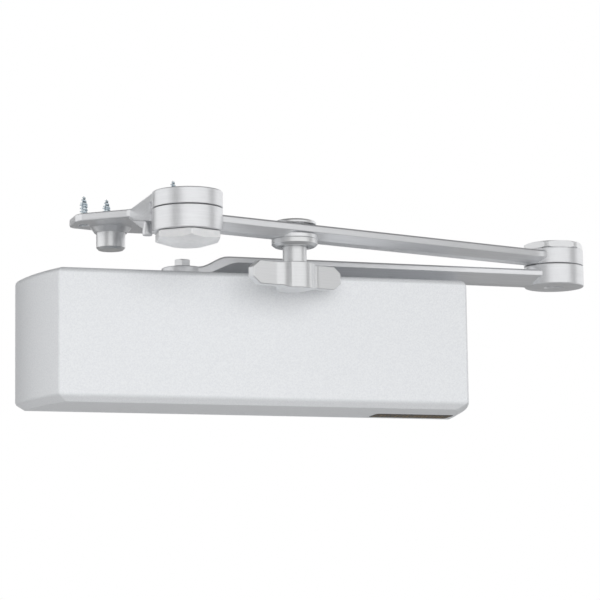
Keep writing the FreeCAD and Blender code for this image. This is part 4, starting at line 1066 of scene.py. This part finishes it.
def make_print():
    """Bars in a row, with a thin frame round them."""
    margin, line = 1.6, 0.5
    x0, x1 = strip_low.x + margin, strip_high.x - margin
    y0, y1 = strip_low.y + margin, strip_high.y - margin
    z = strip_low.z - PRINT / 2
    step = (x1 - x0 - 8) / (BARS - 1)
    bars = grown("label_print", bar_tree(), [(x0 + 4 + step * k, (y0 + y1) / 2, z) for k in range(BARS)])
    outer, inner = (x0, x1, y0, y1), (x0 + line, x1 - line, y0 + line, y1 - line)
    loops = []
    for a, b, c, d in (outer, inner):
        loops.append([(a, c), (b, c), (b, d), (a, d)])
    rings = [[(x, y, h) for x, y in loop] for loop, h in
             ((loops[0], z - PRINT / 2), (loops[0], z + PRINT / 2), (loops[1], z + PRINT / 2), (loops[1], z - PRINT / 2))]
    return carve(bars, [loft("border", rings, hollow=True)], "UNION")


fit_out(make_strip(), "closer_body", "label_film", "cover_label")
fit_out(make_print(), "closer_body", "label_film", material=gold_ink)

# %% [markdown]
# ## Studio
# A pale floor well below the closer, a white world that only the camera and the reflections
# see, a dimmer one that lights the shadows, and one large soft lamp in front and above. Bright
# metal needs something dark to reflect or it looks like paper, so grey cards stand round the
# closer and only reflections see them.

# %% World, floor, lamp and cards
AMBIENT = 0.60
FLOOR_Z = -0.9
CENTRE = Vector((0.045, -0.06, 0.03))

world = bpy.data.worlds.new("studio")
bpy.context.scene.world = world
world.use_nodes = True
sky = world.node_tree
sky.nodes.clear()
path = add(sky, "ShaderNodeLightPath").outputs
seen = maths(sky, "MAXIMUM", path["Is Camera Ray"], maths(sky, "MAXIMUM", path["Is Glossy Ray"],
                                                           path["Is Transmission Ray"]))
level = add(sky, "ShaderNodeMapRange", {"Value": seen, "To Min": AMBIENT, "To Max": 1.0}).outputs["Result"]
add(sky, "ShaderNodeOutputWorld", {
    "Surface": add(sky, "ShaderNodeBackground", {"Color": srgb("#FFFFFF"), "Strength": level}).outputs[0]})


def make_floor():
    """Wide pale floor of a near-white colour, lit like any surface, so that its shadow stays."""
    size = 6.0
    floor = new_piece("floor", [(x * size / MM, y * size / MM, FLOOR_Z / MM) for x, y in
                                ((-1, -1), (1, -1), (1, 1), (-1, 1))], [(0, 1, 2, 3)])
    material = finish("studio_floor",
                      colour=lambda tree: blend_colours(tree, grain(tree, 400.0, 1.0), "#F7F7F7", "#FAFAFA"),
                      roughness=uneven((300.0, 1.0), 0.85, 0.95))
    floor.data.materials.append(material)
    return floor


def make_lamp(name, bearing, climb, distance, size, power):
    """Square soft lamp, bearing degrees round from +X and climb degrees up from the closer."""
    light = bpy.data.lights.new(name, "AREA")
    light.size, light.energy = size, power
    lamp = bpy.data.objects.new(name, light)
    bpy.context.scene.collection.objects.link(lamp)
    away = Vector((math.cos(bearing) * math.cos(climb), math.sin(bearing) * math.cos(climb), math.sin(climb)))
    lamp.location = CENTRE + away * distance
    lamp.visible_glossy = False
    lamp.rotation_euler = away.to_track_quat("Z", "Y").to_euler()
    return lamp


def make_card(name, bearing, wide, low=-50, high=50, shade=0.05, distance=1.6, columns=24):
    """Upright curved card that only reflections see, wide degrees across."""
    rings = []
    for climb in (low, high):
        ring = []
        for k in range(columns):
            a = math.radians(bearing + wide * (k / (columns - 1) - 0.5))
            e = math.radians(climb)
            ring.append(CENTRE / MM + Vector((math.cos(a) * math.cos(e), math.sin(a) * math.cos(e), math.sin(e)))
                        * distance / MM)
        rings.append(ring)
    faces = [(k, k + 1, columns + k + 1, columns + k) for k in range(columns - 1)]
    card = new_piece(name, rings[0] + rings[1], faces)
    paper = bpy.data.materials.new(name + "_paper")
    paper.use_nodes = True
    paper.node_tree.nodes.clear()
    glow = add(paper.node_tree, "ShaderNodeEmission", {"Color": (shade, shade, shade, 1.0)}).outputs[0]
    add(paper.node_tree, "ShaderNodeOutputMaterial", {"Surface": glow})
    card.data.materials.append(paper)
    card.visible_camera = card.visible_diffuse = card.visible_shadow = card.visible_transmission = False
    return card


make_floor()
make_lamp("key", math.radians(262), math.radians(10), 1.8, 1.4, 12.5)
make_lamp("bounce", math.radians(262), math.radians(-45), 1.4, 1.0, 8)
make_card("card_left", 216, 26, shade=0.35)
make_card("card_right", 336, 24, shade=0.3)
make_card("card_back", 120, 20, shade=0.1)
make_card("card_behind", 73, 60, -30, -3, 0.25)
make_card("card_floor", 73, 360, -88, -32, 0.28, 0.8)
ceiling = make_card("card_ceiling", 73, 360, 32, 88, 0.2, 0.8)
ceiling.visible_diffuse = ceiling.visible_shadow = True

# %% [markdown]
# ## Camera
# A long lens from below and to the left, slightly rolled, as if the closer were seen on its
# door from the floor of a corridor.

# %% Camera
CAMERA_AT = (-0.5351, -1.8772, -0.2605)
HEADING, TILT, ROLL = -17.11, 98.60, -0.78     # degrees
FOCAL_LENGTH = 173.8

lens = bpy.data.cameras.new("camera")
lens.lens, lens.sensor_width = FOCAL_LENGTH, 36.0
lens.clip_end = 20.0
camera = bpy.data.objects.new("camera", lens)
bpy.context.scene.collection.objects.link(camera)
aim = (Matrix.Rotation(math.radians(HEADING), 4, "Z") @ Matrix.Rotation(math.radians(TILT), 4, "X")
       @ Matrix.Rotation(math.radians(ROLL), 4, "Z"))
camera.matrix_world = Matrix.Translation(CAMERA_AT) @ aim
bpy.context.scene.camera = camera
bpy.context.scene.view_settings.view_transform = "Standard"
